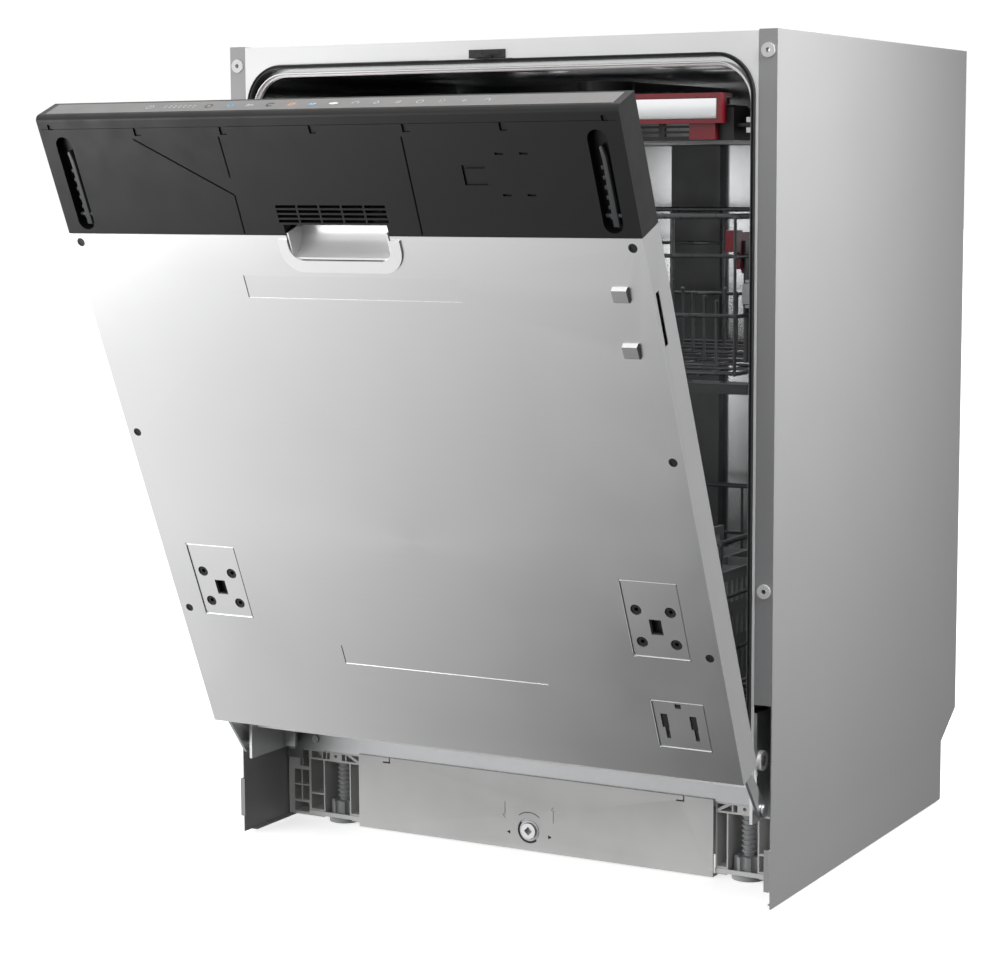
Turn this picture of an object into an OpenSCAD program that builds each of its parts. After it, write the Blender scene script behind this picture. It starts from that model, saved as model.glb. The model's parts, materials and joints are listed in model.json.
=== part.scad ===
// Built-in dishwasher, 60 cm class, for a furniture-front kitchen run.
// Frame: X across, Y from the door towards the wall, Z up, floor at Z = 0.

/* [Cabinet] */
// Overall width across the two side panels
cab_w = 598; // [594:1:600]
// Height with the feet screwed right in
cab_h = 815; // [812:1:820]
// Depth of the side panels
cab_d = 518; // [515:1:525]
// Thickness of the outer steel sheets
sheet = 1; // [0.8:0.1:1.4]
// Width of the flange folded in at each panel's front edge
flange_w = 18; // [16:1:19]
// How far the plinth panel stands behind the front flanges
kick_setback = 80; // [75:1:85]
// Height at which the front flanges end above the hinges
flange_foot_z = 196; // [190:1:200]
// Depth of the step cut from the rear lower corners for the hoses
notch_d = 45; // [40:1:50]
// Height of that step
notch_h = 97; // [90:1:100]

/* [Door] */
// Width of the door
door_w = 590; // [588:1:592]
// Height of the door from its lower edge to the touch strip
door_h = 660; // [656:1:661]
// Thickness of the door's box, without the liner's bulge
door_t = 32; // [31:0.5:33]
// Height of the steel front below the plastic control panel
steel_h = 545; // [540:1:550]
// Gap left between the closed door and the front flanges
door_gap = 4; // [3.5:0.1:5]
// Height of the closed door's lower edge
door_z = 150; // [150:1:152]
// Angle that the door stands open in the stored pose
door_open = 23; // [20:1:25]
// Height of the hinge pins
hinge_z = 97; // [96:0.5:98]
// Hinge pins behind the front flanges (negative is in front)
hinge_y = -2; // [-3:0.5:-1]
// Radius of the hinge pins
hinge_pin_r = 4; // [3:0.5:5]

/* [Tub] */
// Inside width of the stainless tub
tub_w = 552; // [550:1:552]
// Height of the tub's ceiling
tub_top = 786; // [784:1:788]
// Height of the tub's floor
tub_floor_z = 128; // [126:1:129]
// Inside of the tub's back wall
tub_back_y = 486; // [484:1:488]
// Wall thickness of the tub
tub_t = 1; // [0.8:0.1:1.6]
// Clear width of the mouth inside the seal
mouth_w = 540; // [538:1:541]
// Corner radius of the mouth
mouth_r = 34; // [32:1:38]

/* [Racks] */
// Diameter of the rack's wires
wire = 4; // [3.5:0.1:4.5]
// Half width of the upper basket and the tray
rack_half = 254; // [250:1:254]
// Front of the upper basket in the stored pose
upper_y = 12; // [12:1:16]
// Depth of the upper basket
upper_d = 400; // [390:1:402]
// Height of the upper basket's floor
upper_z = 502; // [500:1:504]
// Front of the lower basket in the stored pose
lower_y = 24; // [24:1:26]
// Depth of the lower basket
lower_d = 408; // [400:1:410]
// Height of the lower basket's floor
lower_z = 184; // [182:1:186]
// Height of the lower basket's rim
lower_rim_z = 340; // [330:1:345]
// Front of the cutlery tray in the stored pose
tray_y = 6; // [6:1:10]
// Radius of the lower basket's wheels
wheel_r = 18; // [17:0.5:18]

/* [Feet] */
// Radius over the threads of a foot spindle
spindle_r = 7.2; // [6:0.1:7.4]
// Pitch of the spindle's coarse thread
spindle_pitch = 5; // [4.5:0.1:5.5]
// Radius of the castellated foot wheel
foot_wheel_r = 14.5; // [14:0.5:15]

/* [Hidden] */
half_w = cab_w / 2;
panel_in = half_w - sheet;
door_half = door_w / 2;
front_y = -door_gap - door_t;
steel_top = door_z + steel_h;
door_top = door_z + door_h;
tub_half = tub_w / 2;
mouth_half = mouth_w / 2;
mouth_z = [tub_floor_z + 6, tub_top - 2];
hole_z = [mouth_z[0] - 6, tub_top + 10];
hole_r = 40;
track_half = 253;
seal_w = 3.4;
liner_t = 1;
liner_face = 30;
liner_half = 258;
liner_z = [door_z - 8, mouth_z[1] - 20];
// The origin is under the middle of the stored pose, from the tilted door's tip to the back.
tip_y = hinge_y + (front_y - hinge_y) * cos(door_open) - (door_top - hinge_z) * sin(door_open);
mid_y = (cab_d + tip_y) / 2;
kick_half = 205;
crossbar_z = [66, 99];
foot_x = 235;
foot_y = 97;
rear_foot_y = 452;
arm_y = 250;
upper_arm_y = upper_y + upper_d / 2;
lever_y = upper_y + 40;
lever_z = 612;
tray_d = 406;
tray_z = [716, 746];
tines_y = lower_y + 300;
hinge_ear_x = [288.6, 291.6];
hinge_plate_x = [281, 284];
roller_z = 142;
lid_x = -28;
lid_z = 400;
rinse_x = 78;
rinse_z = 452;
filter_x = 52;
filter_y = arm_y + 34;
salt_x = -165;
salt_y = 160;

// ---- Shapes used many times ----

// A box from its low and high bounds on each axis.
module block(x, y, z)
  translate([x[0], y[0], z[0]]) cube([x[1] - x[0], y[1] - y[0], z[1] - z[0]]);

// A flat outline with round corners, from z[0] to z[1], centred across.
module outline(half, z, r)
  union() {
    translate([-half + r, z[0]]) square([2 * (half - r), z[1] - z[0]]);
    translate([-half, z[0] + r]) square([2 * half, z[1] - z[0] - 2 * r]);
    for (x = [-half + r, half - r], h = [z[0] + r, z[1] - r])
      translate([x, h]) circle(r, $fn = 48);
  }

// Pulls an XZ outline through the depth y[0] to y[1].
module deep(y)
  translate([0, y[1], 0]) rotate([90, 0, 0]) linear_extrude(y[1] - y[0]) children();

// A ring standing in the XZ plane, w thick, through the depth y.
module frame_ring(half, z, r, w, y)
  deep(y) difference() {
    outline(half, z, r);
    outline(half - w, [z[0] + w, z[1] - w], r - w);
  }

// Both the shape and its mirror image across the machine.
module both_sides() {
  children();
  mirror([1, 0, 0]) children();
}

// A wire from a to b, drawn with n flats so that the welded crossings stay clean.
module rod(a, b, d = wire, n = 8) {
  v = b - a;
  translate(a) rotate([0, acos(v[2] / norm(v)), atan2(v[1], v[0])])
    rotate(180 / n) cylinder(h = norm(v), d = d, $fn = n);
}

// A true round bar or bore along X, Y or Z starting at p.
module bar_x(p, h, r) translate(p) rotate([0, 90, 0]) cylinder(h = h, r = r, $fn = 40);
module bar_y(p, h, r) translate(p) rotate([-90, 0, 0]) cylinder(h = h, r = r, $fn = 40);
module bar_z(p, h, r) translate(p) cylinder(h = h, r = r, $fn = 48);

// A rectangular hoop of wire at height z.
module hoop(half, y, z, d = wire) {
  for (x = [-half, half]) rod([x, y[0] - d / 2, z], [x, y[1] + d / 2, z], d);
  for (h = y) rod([-half - d / 2, h, z + 0.3], [half + d / 2, h, z + 0.3], d);
}

// Moves a shape from the cabinet's frame to the origin under the stored pose.
module placed() translate([0, -mid_y, 0]) children();

// Swings a shape drawn on the closed door out to the stored angle.
module on_door()
  placed() translate([0, hinge_y, hinge_z]) rotate([door_open, 0, 0])
    translate([0, -hinge_y, -hinge_z]) children();

// Position of item i of n spread from a to b.
function spread(a, b, i, n) = a + (b - a) * i / (n - 1);

// ---- Cabinet ----

// Right-hand side: sheet with a front flange, top and rear turn-ins and a hose notch.
module side_panel()
  color("gainsboro") difference() {
    union() {
      block([panel_in, half_w], [0, cab_d], [2, cab_h]);
      block([panel_in, half_w], [-5, 0.1], [20, 60]);
      block([panel_in - 4, half_w], [-5, -4], [20, 60]);
      block([half_w - flange_w, half_w], [0, sheet], [flange_foot_z, cab_h]);
      block([half_w - 14, half_w], [0, cab_d], [cab_h - sheet, cab_h]);
      block([half_w - 14, half_w], [cab_d - sheet, cab_d], [notch_h + 8, cab_h]);
      block([half_w - 8, half_w], [12, cab_d - notch_d], [2, 2 + sheet]);
    }
    translate([half_w + 1, 0, 0]) rotate([0, -90, 0]) linear_extrude(20)
      polygon([[-1, cab_d - notch_d], [notch_h - 30, cab_d - notch_d],
        [notch_h, cab_d + 1], [-1, cab_d + 1]]);
    for (z = fixing_z) bar_y([fixing_x, -1, z], 4, 5);
  }

fixing_z = [303, 796];
fixing_x = 290;

// Painted frame round the mouth, between the two side flanges, with worktop tabs.
module front_frame()
  color("lightgray") {
    difference() {
      deep([0, sheet]) difference() {
        translate([-half_w + flange_w + 0.3, tub_floor_z - 12])
          square([2 * (half_w - flange_w) - 0.6, cab_h - sheet - 0.3 - tub_floor_z + 12]);
        outline(mouth_half + 8, hole_z, hole_r);
      }
      block([-20, 20], [-1, 3], [hole_z[1] - 1, cab_h - 10]);
      block([-track_half, track_half], [-1, 3], [tub_floor_z, mouth_z[0] + 40]);
    }
    both_sides() difference() {
      block([200, 240], [sheet, 34], [cab_h - 3.4, cab_h - 1.9]);
      bar_z([220, 20, cab_h - 5], 6, 2.6);
    }
    block([-half_w + flange_w + 0.3, half_w - flange_w - 0.3], [sheet, 12],
      [cab_h - 3.4, cab_h - 1.9]);
  }

// Rubber seal round the mouth, open below between the wheel tracks.
module door_seal()
  color("dimgray") difference() {
    frame_ring(mouth_half + 7.6, hole_z + [0.4, -0.4], hole_r - 0.4, seal_w, [-2.5, 9]);
    block([-track_half, track_half], [-5, 12], [0, mouth_z[0] + 40]);
    frame_ring(mouth_half + 6.6, hole_z + [1.4, -1.4], hole_r - 1.4, 1.4, [-3, -0.6]);
  }

// Stainless wrap of ceiling and side walls with the stepped lip at the mouth.
module tub_wrap()
  color("silver") {
    difference() {
      frame_ring(tub_half + tub_t, [tub_floor_z - 60, tub_top + tub_t], 34, tub_t, [12, tub_back_y]);
      block([-half_w, half_w], [0, cab_d], [0, tub_floor_z - 4]);
    }
    difference() {
      union() {
        frame_ring(mouth_half + 1.5, mouth_z + [-1.5, 1.5], mouth_r + 1.5, 1.5, [9.4, 16]);
        deep([9.4, 12]) difference() {
          outline(mouth_half + 8, [mouth_z[0] - 8, hole_z[1]], hole_r);
          outline(mouth_half + 0.7, mouth_z + [-0.7, 0.7], mouth_r + 0.7);
        }
      }
      block([-tub_half, tub_half], [8, 20], [0, tub_floor_z]);
      block([-track_half, track_half], [8, 20], [0, mouth_z[0] + 40]);
    }
  }

module tub_back()
  color("silver") deep([tub_back_y, tub_back_y + tub_t]) difference() {
    outline(tub_half + tub_t, [tub_floor_z - 4, tub_top + tub_t], 34);
    translate([0, tub_floor_z + 30]) square([30, 4], center = true);
  }

// Moulded floor with wheel tracks, the sump well and the salt port.
module tub_floor()
  color("darkgray") difference() {
    union() {
      block([-tub_half, tub_half], [9, tub_back_y], [tub_floor_z - 4, tub_floor_z]);
      block([-mouth_half + 18, mouth_half - 18], [3, 9], [tub_floor_z - 10, mouth_z[0] - 2]);
      both_sides() block([224, 262], [12, tub_back_y - 4], [tub_floor_z - 0.1, tub_floor_z + 5]);
      bar_z([salt_x, salt_y, tub_floor_z - 4], 7, 44);
    }
    bar_z([0, arm_y, tub_floor_z - 10], 20, 96);
    bar_z([salt_x, salt_y, tub_floor_z - 10], 20, 36);
  }

// Galvanised back sheet with cooling slots, between the rear turn-ins.
module back_panel()
  color("darkgray") difference() {
    block([-half_w + 14.4, half_w - 14.4], [cab_d - 2 * sheet, cab_d - sheet],
      [notch_h + 10, cab_h - 3]);
    for (x = [-180, -60, 60, 180], i = [0:4])
      block([x - 40, x + 40], [cab_d - 5, cab_d + 1], [150 + 14 * i, 155 + 14 * i]);
  }

// Plastic base that closes the machine below and catches leaks.
module base_tray()
  color("gray") difference() {
    union() {
      block([-panel_in + 2.2, panel_in - 2.2], [132, cab_d - notch_d - 3], [8, 11]);
      both_sides() block([panel_in - 4.2, panel_in - 2.2], [132, cab_d - notch_d - 3], [11, 60]);
      block([-panel_in + 2.2, panel_in - 2.2], [132, 134], [11, 56]);
      block([-panel_in + 2.2, panel_in - 2.2], [cab_d - notch_d - 5, cab_d - notch_d - 3], [11, 26]);
      difference() {
        block([-18, 18], [rear_foot_y - 18, rear_foot_y + 18], [8, 52]);
        bar_z([0, rear_foot_y, 0], 60, 9.5);
      }
      block([-16, 16], [150, 156], [11, 36]);
    }
    bar_z([0, rear_foot_y, 0], 60, 9.5);
    bar_y([0, 100, 22], 420, 4.3);
  }

// Galvanised crossbar that ties the two sides above the plinth panel.
module front_crossbar()
  color("silver") difference() {
    union() {
      block([-panel_in + 0.4, panel_in - 0.4], [kick_setback, kick_setback + sheet],
        [crossbar_z[0] + 11, crossbar_z[1]]);
      both_sides() {
        block([277, panel_in - 0.4], [kick_setback, kick_setback + sheet],
          [crossbar_z[0], crossbar_z[0] + 11.1]);
        block([279, 281], [kick_setback, kick_setback + sheet],
          [crossbar_z[0] - 8, crossbar_z[0] + 0.1]);
      }
      block([-panel_in + 0.4, panel_in - 0.4], [kick_setback, kick_setback + 26],
        [crossbar_z[1] - sheet, crossbar_z[1]]);
    }
    both_sides() {
      for (p = crossbar_screws) bar_y([p[0], kick_setback - 2, p[1]], 6, 2.2);
      bar_z([foot_x, foot_y, crossbar_z[1] - 4], 8, spindle_r + 1);
    }
  }

crossbar_screws = [[289.6, 79], [260, 89]];

// Plinth panel: two J-shaped catches, a ring round the adjuster and generic arrows.
module kick_plate()
  color("lightgray") difference() {
    union() {
      block([-kick_half, kick_half], [kick_setback - 2.4, kick_setback - 0.3], [1, 79]);
      block([-kick_half, kick_half], [kick_setback - 2.4, kick_setback + 9], [1, 2.2]);
      block([kick_half - 5, kick_half + 0.6], [kick_setback - 3.2, kick_setback - 2.3], [8, 11]);
    }
    for (x = [-170, 170]) {
      block([x - 5, x + 4], [kick_setback - 5, kick_setback + 1], [73, 74.6]);
      block([x + 2.4, x + 4], [kick_setback - 5, kick_setback + 1], [73, 80]);
    }
    bar_y([adjuster_x, kick_setback - 8, adjuster_z], 12, 8.5);
    adjuster_ring();
    for (s = [-1, 1]) deep([kick_setback - 3.7, kick_setback - 1.7]) arrow(s);
  }

adjuster_x = 0;
adjuster_z = 22;

// The groove round the adjuster's socket.
module adjuster_ring()
  difference() {
    bar_y([adjuster_x, kick_setback - 3.7, adjuster_z], 2, 13.2);
    bar_y([adjuster_x, kick_setback - 4.7, adjuster_z], 4, 10.8);
  }

// An upright arrow beside the ring, up for s = 1 and down for s = -1.
module arrow(s)
  translate([adjuster_x + s * 28, adjuster_z + 19]) rotate(s > 0 ? 0 : 180)
    polygon([[-0.4, -8], [0.4, -8], [0.4, 5], [3, 5], [0, 9], [-3, 5], [-0.4, 5]]);

// Open plastic brackets: a window round each front spindle, ribs and cells beside it.
module foot_housings()
  color("gray") both_sides() difference() {
    union() {
      block([foot_x - 29, panel_in - 1.4], [housing_y, housing_y + 44], [4, 76.4]);
      block([foot_x - 29, foot_x + 35], [kick_setback, housing_y + 0.1], [5.6, 10.2]);
      block([foot_x + 19, foot_x + 31], [housing_y, housing_y + 14], [76.3, 96]);
      block([285, panel_in - 1.4], [housing_y, housing_y + 14], [76.3, 84]);
    }
    block([foot_x - 15.6, foot_x + 15.6], [kick_setback - 1, housing_y + 38], [10.2, 66]);
    block([foot_x - 17.6, foot_x + 17.6], [kick_setback - 1, housing_y + 38], [0, 5.6]);
    block([foot_x - 17.6, foot_x + 17.6], [housing_y + 0.1, housing_y + 38], [0, 10.3]);
    block([foot_x - 27.4, foot_x - 17.2], [kick_setback - 1, housing_y + 32], [12, 66]);
    block([foot_x + 17.2, foot_x + 33], [kick_setback - 1, housing_y + 34], [30, 66]);
    block([foot_x + 17.2, foot_x + 33], [kick_setback - 1, housing_y + 34], [12, 28]);
    for (x = [foot_x + 35.6, foot_x + 45.8], z = [20, 37.4])
      block([x, x + 8.6], [kick_setback, housing_y + 36], [z, z + 15.8]);
    block([foot_x + 35.6, foot_x + 43], [kick_setback, housing_y + 30], [57, 75]);
    block([foot_x + 35.6, foot_x + 54.4], [kick_setback, housing_y + 24], [7, 17.6]);
    for (x = [[-10.4, -6], [9, 12.6], [14.2, 17.8], [19.4, 32]])
      block([foot_x + x[0], foot_x + x[1]], [kick_setback, housing_y + 12], [68, 75]);
    for (p = [[[-27.4, 69.6], [-27.4, 75], [-18, 75]], [[-24.4, 68], [-12, 75], [-12, 68]]])
      deep([kick_setback, housing_y + 12]) translate([foot_x, 0]) polygon(p);
    bar_y([foot_x + 1.6, kick_setback, 72], 12, 1.8);
    bar_z([foot_x, foot_y, 60], 40, spindle_r + 0.4);
    for (p = crossbar_screws) bar_y([p[0], kick_setback, p[1]], 12, 2.3);
  }

housing_y = 81.7;

// ---- Water parts under and behind the tub ----

module sump()
  color("dimgray") translate([0, arm_y, 0]) difference() {
    union() {
      bar_z([0, 0, 64], 57.5, 95);
      bar_z([0, 0, 119], 5, 106);
      bar_z([62, 0, 44], 30, 20);
    }
    bar_z([0, 0, 66.5], 60, 92.5);
  }

module circulation_pump()
  color("darkslategray") translate([0, arm_y + 30, 62]) {
    difference() {
      bar_x([93.5, 0, 0], 28, 36);
      bar_z([0, -30, -60], 120, 106.3);
    }
    bar_x([121.4, 0, 0], 84, 30);
    for (i = [0:5]) bar_x([132 + 12 * i, 0, 0], 3, 32);
    bar_x([205.2, 0, 0], 8, 12);
  }

module drain_pump()
  color("black") {
    difference() {
      bar_x([-160, arm_y - 20, 48], 66, 20);
      bar_z([0, arm_y, 0], 130, 95.3);
    }
    bar_y([-150, arm_y - 4, 48], cab_d - 44 - arm_y + 4, drain_r + 1.5);
    bar_y([-150, cab_d - 44.1, 48], 28, drain_r);
  }

drain_r = 9.5;

// Tubular heater between the pump and the feed pipe.
module flow_heater()
  color("silver") {
    bar_x([30, 402, 66], 120, 26);
    bar_x([20, 402, 66], 11, 14);
    bar_x([149, 402, 66], 11, 14);
    bar_y([84, 427, 66], 24, 5);
  }

module water_softener()
  color("white") {
    block([-206, -120], [136, 206], [14, 106]);
    bar_z([salt_x, salt_y + 12, 105.9], 14, 30);
    for (y = [148, 166, 184, 200]) block([-208, -118], [y - 2, y + 2], [14, 100]);
  }

// Solenoid valve whose threaded spigot takes the inlet hose at the rear step.
module inlet_valve()
  color("white") {
    block([-246, -206], [438, 470], [36, 76]);
    bar_y([-226, 469.9, 54], 4, 17);
    bar_y([-226, 473.8, 54], 20, inlet_r);
    bar_z([-226, 452, 75.9], 26, 12);
  }

inlet_r = 13.2;

// Flat chamber between tub and side sheet that breaks the siphon.
module air_break_chamber()
  color("white") difference() {
    block([-295.5, -280.5], [150, 420], [200, 600]);
    for (i = [0:4])
      block([-297, -289], [162 + 50 * i, 206 + 50 * i], [i % 2 == 0 ? 214 : 240, i % 2 == 0 ? 560 : 586]);
  }

// Mains terminal box with its cable gland at the rear step.
module junction_box()
  color("lightgray") difference() {
    union() {
      block([196, 262], [430, 470], [34, 78]);
      bar_y([229, 469.9, 56], 6, 13);
      bar_y([229, 475.8, 56], 18, 10);
    }
    bar_y([229, 440, 56], 60, gland_r);
  }

gland_r = 4;

// Duct up the tub's back wall and along the ceiling to the top arm.
module water_feed_pipe()
  color("dimgray") {
    block([-30, 30], [474, tub_back_y], [tub_floor_z, 770]);
    block([-22, 22], [arm_y, tub_back_y], [769.9, 781]);
    bar_z([0, arm_y, 770], 11, 30);
    bar_z([0, arm_y, 758], 13, 8);
    bar_z([0, arm_y, 755], 3.1, 11);
  }

// ---- Door hardware on the cabinet ----

// Black striker let into the frame above the mouth, with a steel tongue for the lock.
module latch_striker()
  color("black") {
    block([-19.5, 19.5], [-1.6, 14], [striker_z - 0.1, cab_h - 10.4]);
    for (x = [-14, 5]) block([x, x + 9], [-2.2, -1.5], [cab_h - 15.4, cab_h - 12.4]);
    difference() {
      block([-6, 6], [-18, -1.5], [striker_z, striker_z + 2.5]);
      block([-3, 3], [-14, -6], [striker_z - 1, striker_z + 4]);
    }
  }

striker_z = 796.5;

// Steel plates bolted inside the flanges, with the hinge pins and the cord rollers.
module hinge_brackets()
  color("silver") both_sides() {
    block(hinge_plate_x, [-9, 76], [84, 120]);
    block(hinge_plate_x, [0.4, 76], [119.9, 188]);
    bar_x([hinge_plate_x[1] - 0.1, hinge_y, hinge_z], 10, hinge_pin_r);
    bar_x([hinge_ear_x[1] + 0.4, hinge_y, hinge_z], 1.8, hinge_pin_r + 2);
    bar_x([hinge_plate_x[1] - 0.1, 8, roller_z], 4.2, 2.5);
    difference() {
      bar_x([hinge_plate_x[1] + 0.4, 8, roller_z], 3.4, 9);
      bar_x([hinge_plate_x[1], 8, roller_z], 5, 2.4);
    }
    block([hinge_plate_x[0] - 14, hinge_plate_x[0] + 0.1], [50, 53], [86, 104]);
  }

// Counterbalance springs lying along the base, each with its pull cord to the roller.
module door_springs()
  color("lightsteelblue") both_sides() {
    translate([286, 0, 90]) rotate([-90, 0, 0]) {
      for (i = [0:27]) translate([0, 0, 206 + 6.5 * i])
        rotate_extrude($fn = 32) translate([5.2, 0]) square([1.8, 3.4]);
      translate([0, 0, 200]) cylinder(h = 196, r = 5.3, $fn = 32);
      translate([0, 0, 395]) cylinder(h = 40, r = 1.6, $fn = 24);
    }
    block([284.5, 287.5], [434, 440], [60, 93]);
    rod([286, 202, 90], [286, 20, roller_z - 4], 2.4);
  }

// Fixed channels for the upper basket's runners and for the cutlery tray.
module slide_rails()
  color("silver") both_sides() {
    difference() {
      block([262, tub_half], [16, 470], [upper_rail_z - 13, upper_rail_z + 13]);
      block([255, 271], [15, 471], [upper_rail_z - 10.4, upper_rail_z + 10.4]);
    }
    difference() {
      block([262, tub_half], [16, 470], [tray_fin_z - 7, tray_fin_z + 7]);
      block([255, 272], [15, 471], [tray_fin_z - 2.4, tray_fin_z + 2.4]);
    }
  }

upper_rail_z = 576;
tray_fin_z = 730;

// Grommets with bores for the screws into the kitchen units, and the crossbar's screws.
module cabinet_fasteners()
  both_sides() {
    color("whitesmoke") for (z = fixing_z) difference() {
      union() {
        bar_y([fixing_x, -1.4, z], 1.4, 6.6);
        bar_y([fixing_x, -0.1, z], 5, 4.9);
      }
      bar_y([fixing_x, -2, z], 8, grommet_r);
    }
    color("silver") for (p = crossbar_screws) {
      bar_y([p[0], kick_setback - 2.2, p[1]], 2.2, 4);
      bar_y([p[0], kick_setback - 0.1, p[1]], 10, 2.1);
    }
  }

grommet_r = 2.2;

// Perforated plate over the sump with the lower arm's bearing pin.
module filter_plate()
  color("silver") difference() {
    union() {
      bar_z([0, arm_y, tub_floor_z], 1.5, 102);
      bar_z([0, arm_y, tub_floor_z + 1.4], 8, 20);
      bar_z([0, arm_y, tub_floor_z + 9], 22, arm_pin_r);
      bar_z([0, arm_y, tub_floor_z + 28.6], 4, 13);
    }
    bar_z([filter_x, filter_y, tub_floor_z - 2], 8, 28.6);
    for (i = [0:11], r = [60, 76, 90])
      if (norm([r * cos(30 * i) - filter_x, r * sin(30 * i) - filter_y + arm_y]) > 36)
        bar_z([r * cos(30 * i), arm_y + r * sin(30 * i), tub_floor_z - 2], 5, 4);
  }

arm_pin_r = 9;

// ---- Door, drawn closed ----

bracket_x = 237;
bracket_z = door_z + 172.5;
holes_z = door_z + 165;
hole_step = 17;
plug_x = 284.5;
plug_z = [door_z + 137, door_z + 336, door_z + 536];

// Four screw holes and a square socket for one furniture-front bracket.
module bracket_holes(x, r, depth) {
  for (dx = [-hole_step, hole_step], dz = [-hole_step, hole_step])
    bar_y([x + dx, front_y - 1, holes_z + dz], depth, r);
  block([x - r - 0.5, x + r + 0.5], [front_y - 1, front_y - 1 + depth], [holes_z - 8, holes_z + 8]);
}

// A shallow pressed line round a rectangle in the steel front.
module pressed_line(x, z, w = 1.4) {
  difference() {
    block(x, [front_y - 1, front_y + 0.5], z);
    block([x[0] + w, x[1] - w], [front_y - 2, front_y + 1], [z[0] + w, z[1] - w]);
  }
}

// Stainless front sheet folded back at both sides and below.
module door_outer_panel()
  color("lightgray") difference() {
    union() {
      block([-door_half, door_half], [front_y, front_y + sheet], [door_z, steel_top - 0.3]);
      both_sides() block([door_half - sheet, door_half], [front_y, -door_gap], [door_z, steel_top - 0.3]);
      block([-door_half, door_half], [front_y, -door_gap], [door_z, door_z + sheet]);
      for (z = [door_z + 441, door_z + 493]) translate([259, front_y + 0.1, z - 7])
        rotate([0, 90, 0]) rotate([0, 0, 90]) linear_extrude(14)
          polygon([[0, 0], [0, 15], [-4.4, 13], [-3.2, 2]]);
    }
    for (z = plug_z, x = [-plug_x, plug_x]) bar_y([x, front_y - 1, z], 4, 3.2);
    block([-111, 111], [front_y - 1, front_y + 0.6], [door_z + 483, door_z + 505]);
    block([-112, 112], [front_y - 1, front_y + 0.6], [door_z + 89, door_z + 110]);
    for (x = [-bracket_x, bracket_x]) {
      bracket_holes(x, 5.5, 4);
      pressed_line([x - 29, x + 29], [bracket_z - 41, bracket_z + 41]);
    }
    pressed_line([216, 270], [door_z + 33, door_z + 86]);
    for (x = [227, 256]) {
      block([x - 3.4, x + 3.4], [front_y - 1, front_y + 3], [door_z + 56, door_z + 71]);
      block([x - 1, x + 3], [front_y - 1, front_y + 3], [door_z + 44, door_z + 56.1]);
    }
    block([240, 246], [front_y - 1, front_y + 3], [door_z + 78, door_z + 83]);
    block([door_half - 3, door_half + 1], [front_y + 5, front_y + 11], [door_z + 444, door_z + 493]);
    block([-cup_half - 1.4, cup_half + 1.4], [front_y - 1, front_y + 3], [cup_z - 1.4, steel_top + 1]);
    both_sides() block([hinge_ear_x[0] - 2, hinge_ear_x[1] + 1.2], [front_y + 1.5, 0],
      [door_z - 1, door_z + 3]);
  }

cup_half = 52;
cup_z = door_z + 522;
cup_r = 23;

// Steel finger scoop with a raised lip pressed round it.
module handle_cup()
  color("silver") {
    difference() {
      block([-cup_half, cup_half], [front_y - 0.2, front_y + 26], [cup_z, cup_z + 25]);
      bar_x([-cup_half + 1.6, front_y, cup_z + 25], 2 * cup_half - 3.2, cup_r);
    }
    difference() {
      deep([front_y - 1.8, front_y - 0.1]) outline(cup_half + 11, [cup_z - 12, cup_z + 60], 22);
      deep([front_y - 3, front_y + 1]) outline(cup_half + 1, [cup_z - 1, cup_z + 60], 14);
      block([-80, 80], [front_y - 4, front_y + 2], [steel_top - 4, steel_top + 60]);
    }
  }

// Dark plastic head of the door: hollow, with slots, grille and moulded lines.
module control_panel()
  color("dimgray") difference() {
    union() {
      block([-door_half, door_half], [front_y, -door_gap], [steel_top, door_top - 5]);
      block([-door_half, door_half], [front_y + 5, -door_gap], [door_top - 5.1, door_top]);
      bar_x([-door_half, front_y + 5, door_top - 5], 2 * door_half, 5);
    }
    block([-door_half + 2.6, door_half - 2.6], [front_y + 10, 0], [steel_top + 2.6, door_top - 6]);
    block([-strip_half, strip_half], [front_y + 6, -door_gap - 3], [door_top - 3, door_top + 1]);
    both_sides() deep([front_y - 1, front_y + 8]) translate([slot_x, 0])
      outline(9, [steel_top + 4, steel_top + 95], 8.9);
    for (i = [0:3], x = [-57, -34, -11, 12, 35])
      block([x, x + 21], [front_y - 1, front_y + 12], [steel_top + 12 + 4.6 * i, steel_top + 14.8 + 4.6 * i]);
    for (line = panel_lines) moulded_line(line[0], line[1]);
    block([-door_half + 3, door_half - 3], [front_y - 1, front_y + 0.5], [door_top - 12.6, door_top - 12]);
    for (i = [0:4]) block([-188.5 + 93 * i, -181.5 + 93 * i], [front_y - 1, front_y + 1.5],
      [door_top - 20, door_top - 12.6]);
    for (x = [-281, 281]) block([x - 3, x + 3], [front_y - 1, front_y + 1.6], [door_top - 13, door_top - 8]);
    for (x = [178, 201], s = [37, 74]) block([x - 4, x + 4], [front_y - 1, front_y + 2],
      [steel_top + s, steel_top + s + 2]);
    difference() {
      block([140, 162], [front_y - 1, front_y + 1.4], [steel_top + 47, steel_top + 65]);
      block([143, 163], [front_y - 2, front_y + 2], [steel_top + 50, steel_top + 62]);
    }
    block([-cup_half - 1.4, cup_half + 1.4], [front_y - 1, front_y + 27], [steel_top - 1, steel_top + 10]);
    block([-10, 10], [-30, 0], [striker_z - 4, striker_z + 7]);
  }

strip_half = 288;
slot_x = 271;
// Ends of the thin moulded lines on the head, as [x, height above the steel].
panel_lines = [[[-191, 92], [-97, 38]], [[-97, 38], [-97, 1]], [[-98, 93], [-97, 55]], [[88, 91], [87, 1]]];

// A narrow groove between two points of the head's face.
module moulded_line(a, b) {
  v = b - a;
  translate([a[0], front_y + 0.6, steel_top + a[1]]) rotate([0, -atan2(v[1], v[0]), 0])
    translate([-0.5, -2, -0.8]) cube([norm(v) + 1, 2, 1.6]);
}

// Touch strip let into the top of the head.
module touch_strip()
  color("gray") block([-strip_half + 0.3, strip_half - 0.3], [front_y + 6.3, -door_gap - 3.3],
    [door_top - 3, door_top + 0.2]);

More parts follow.
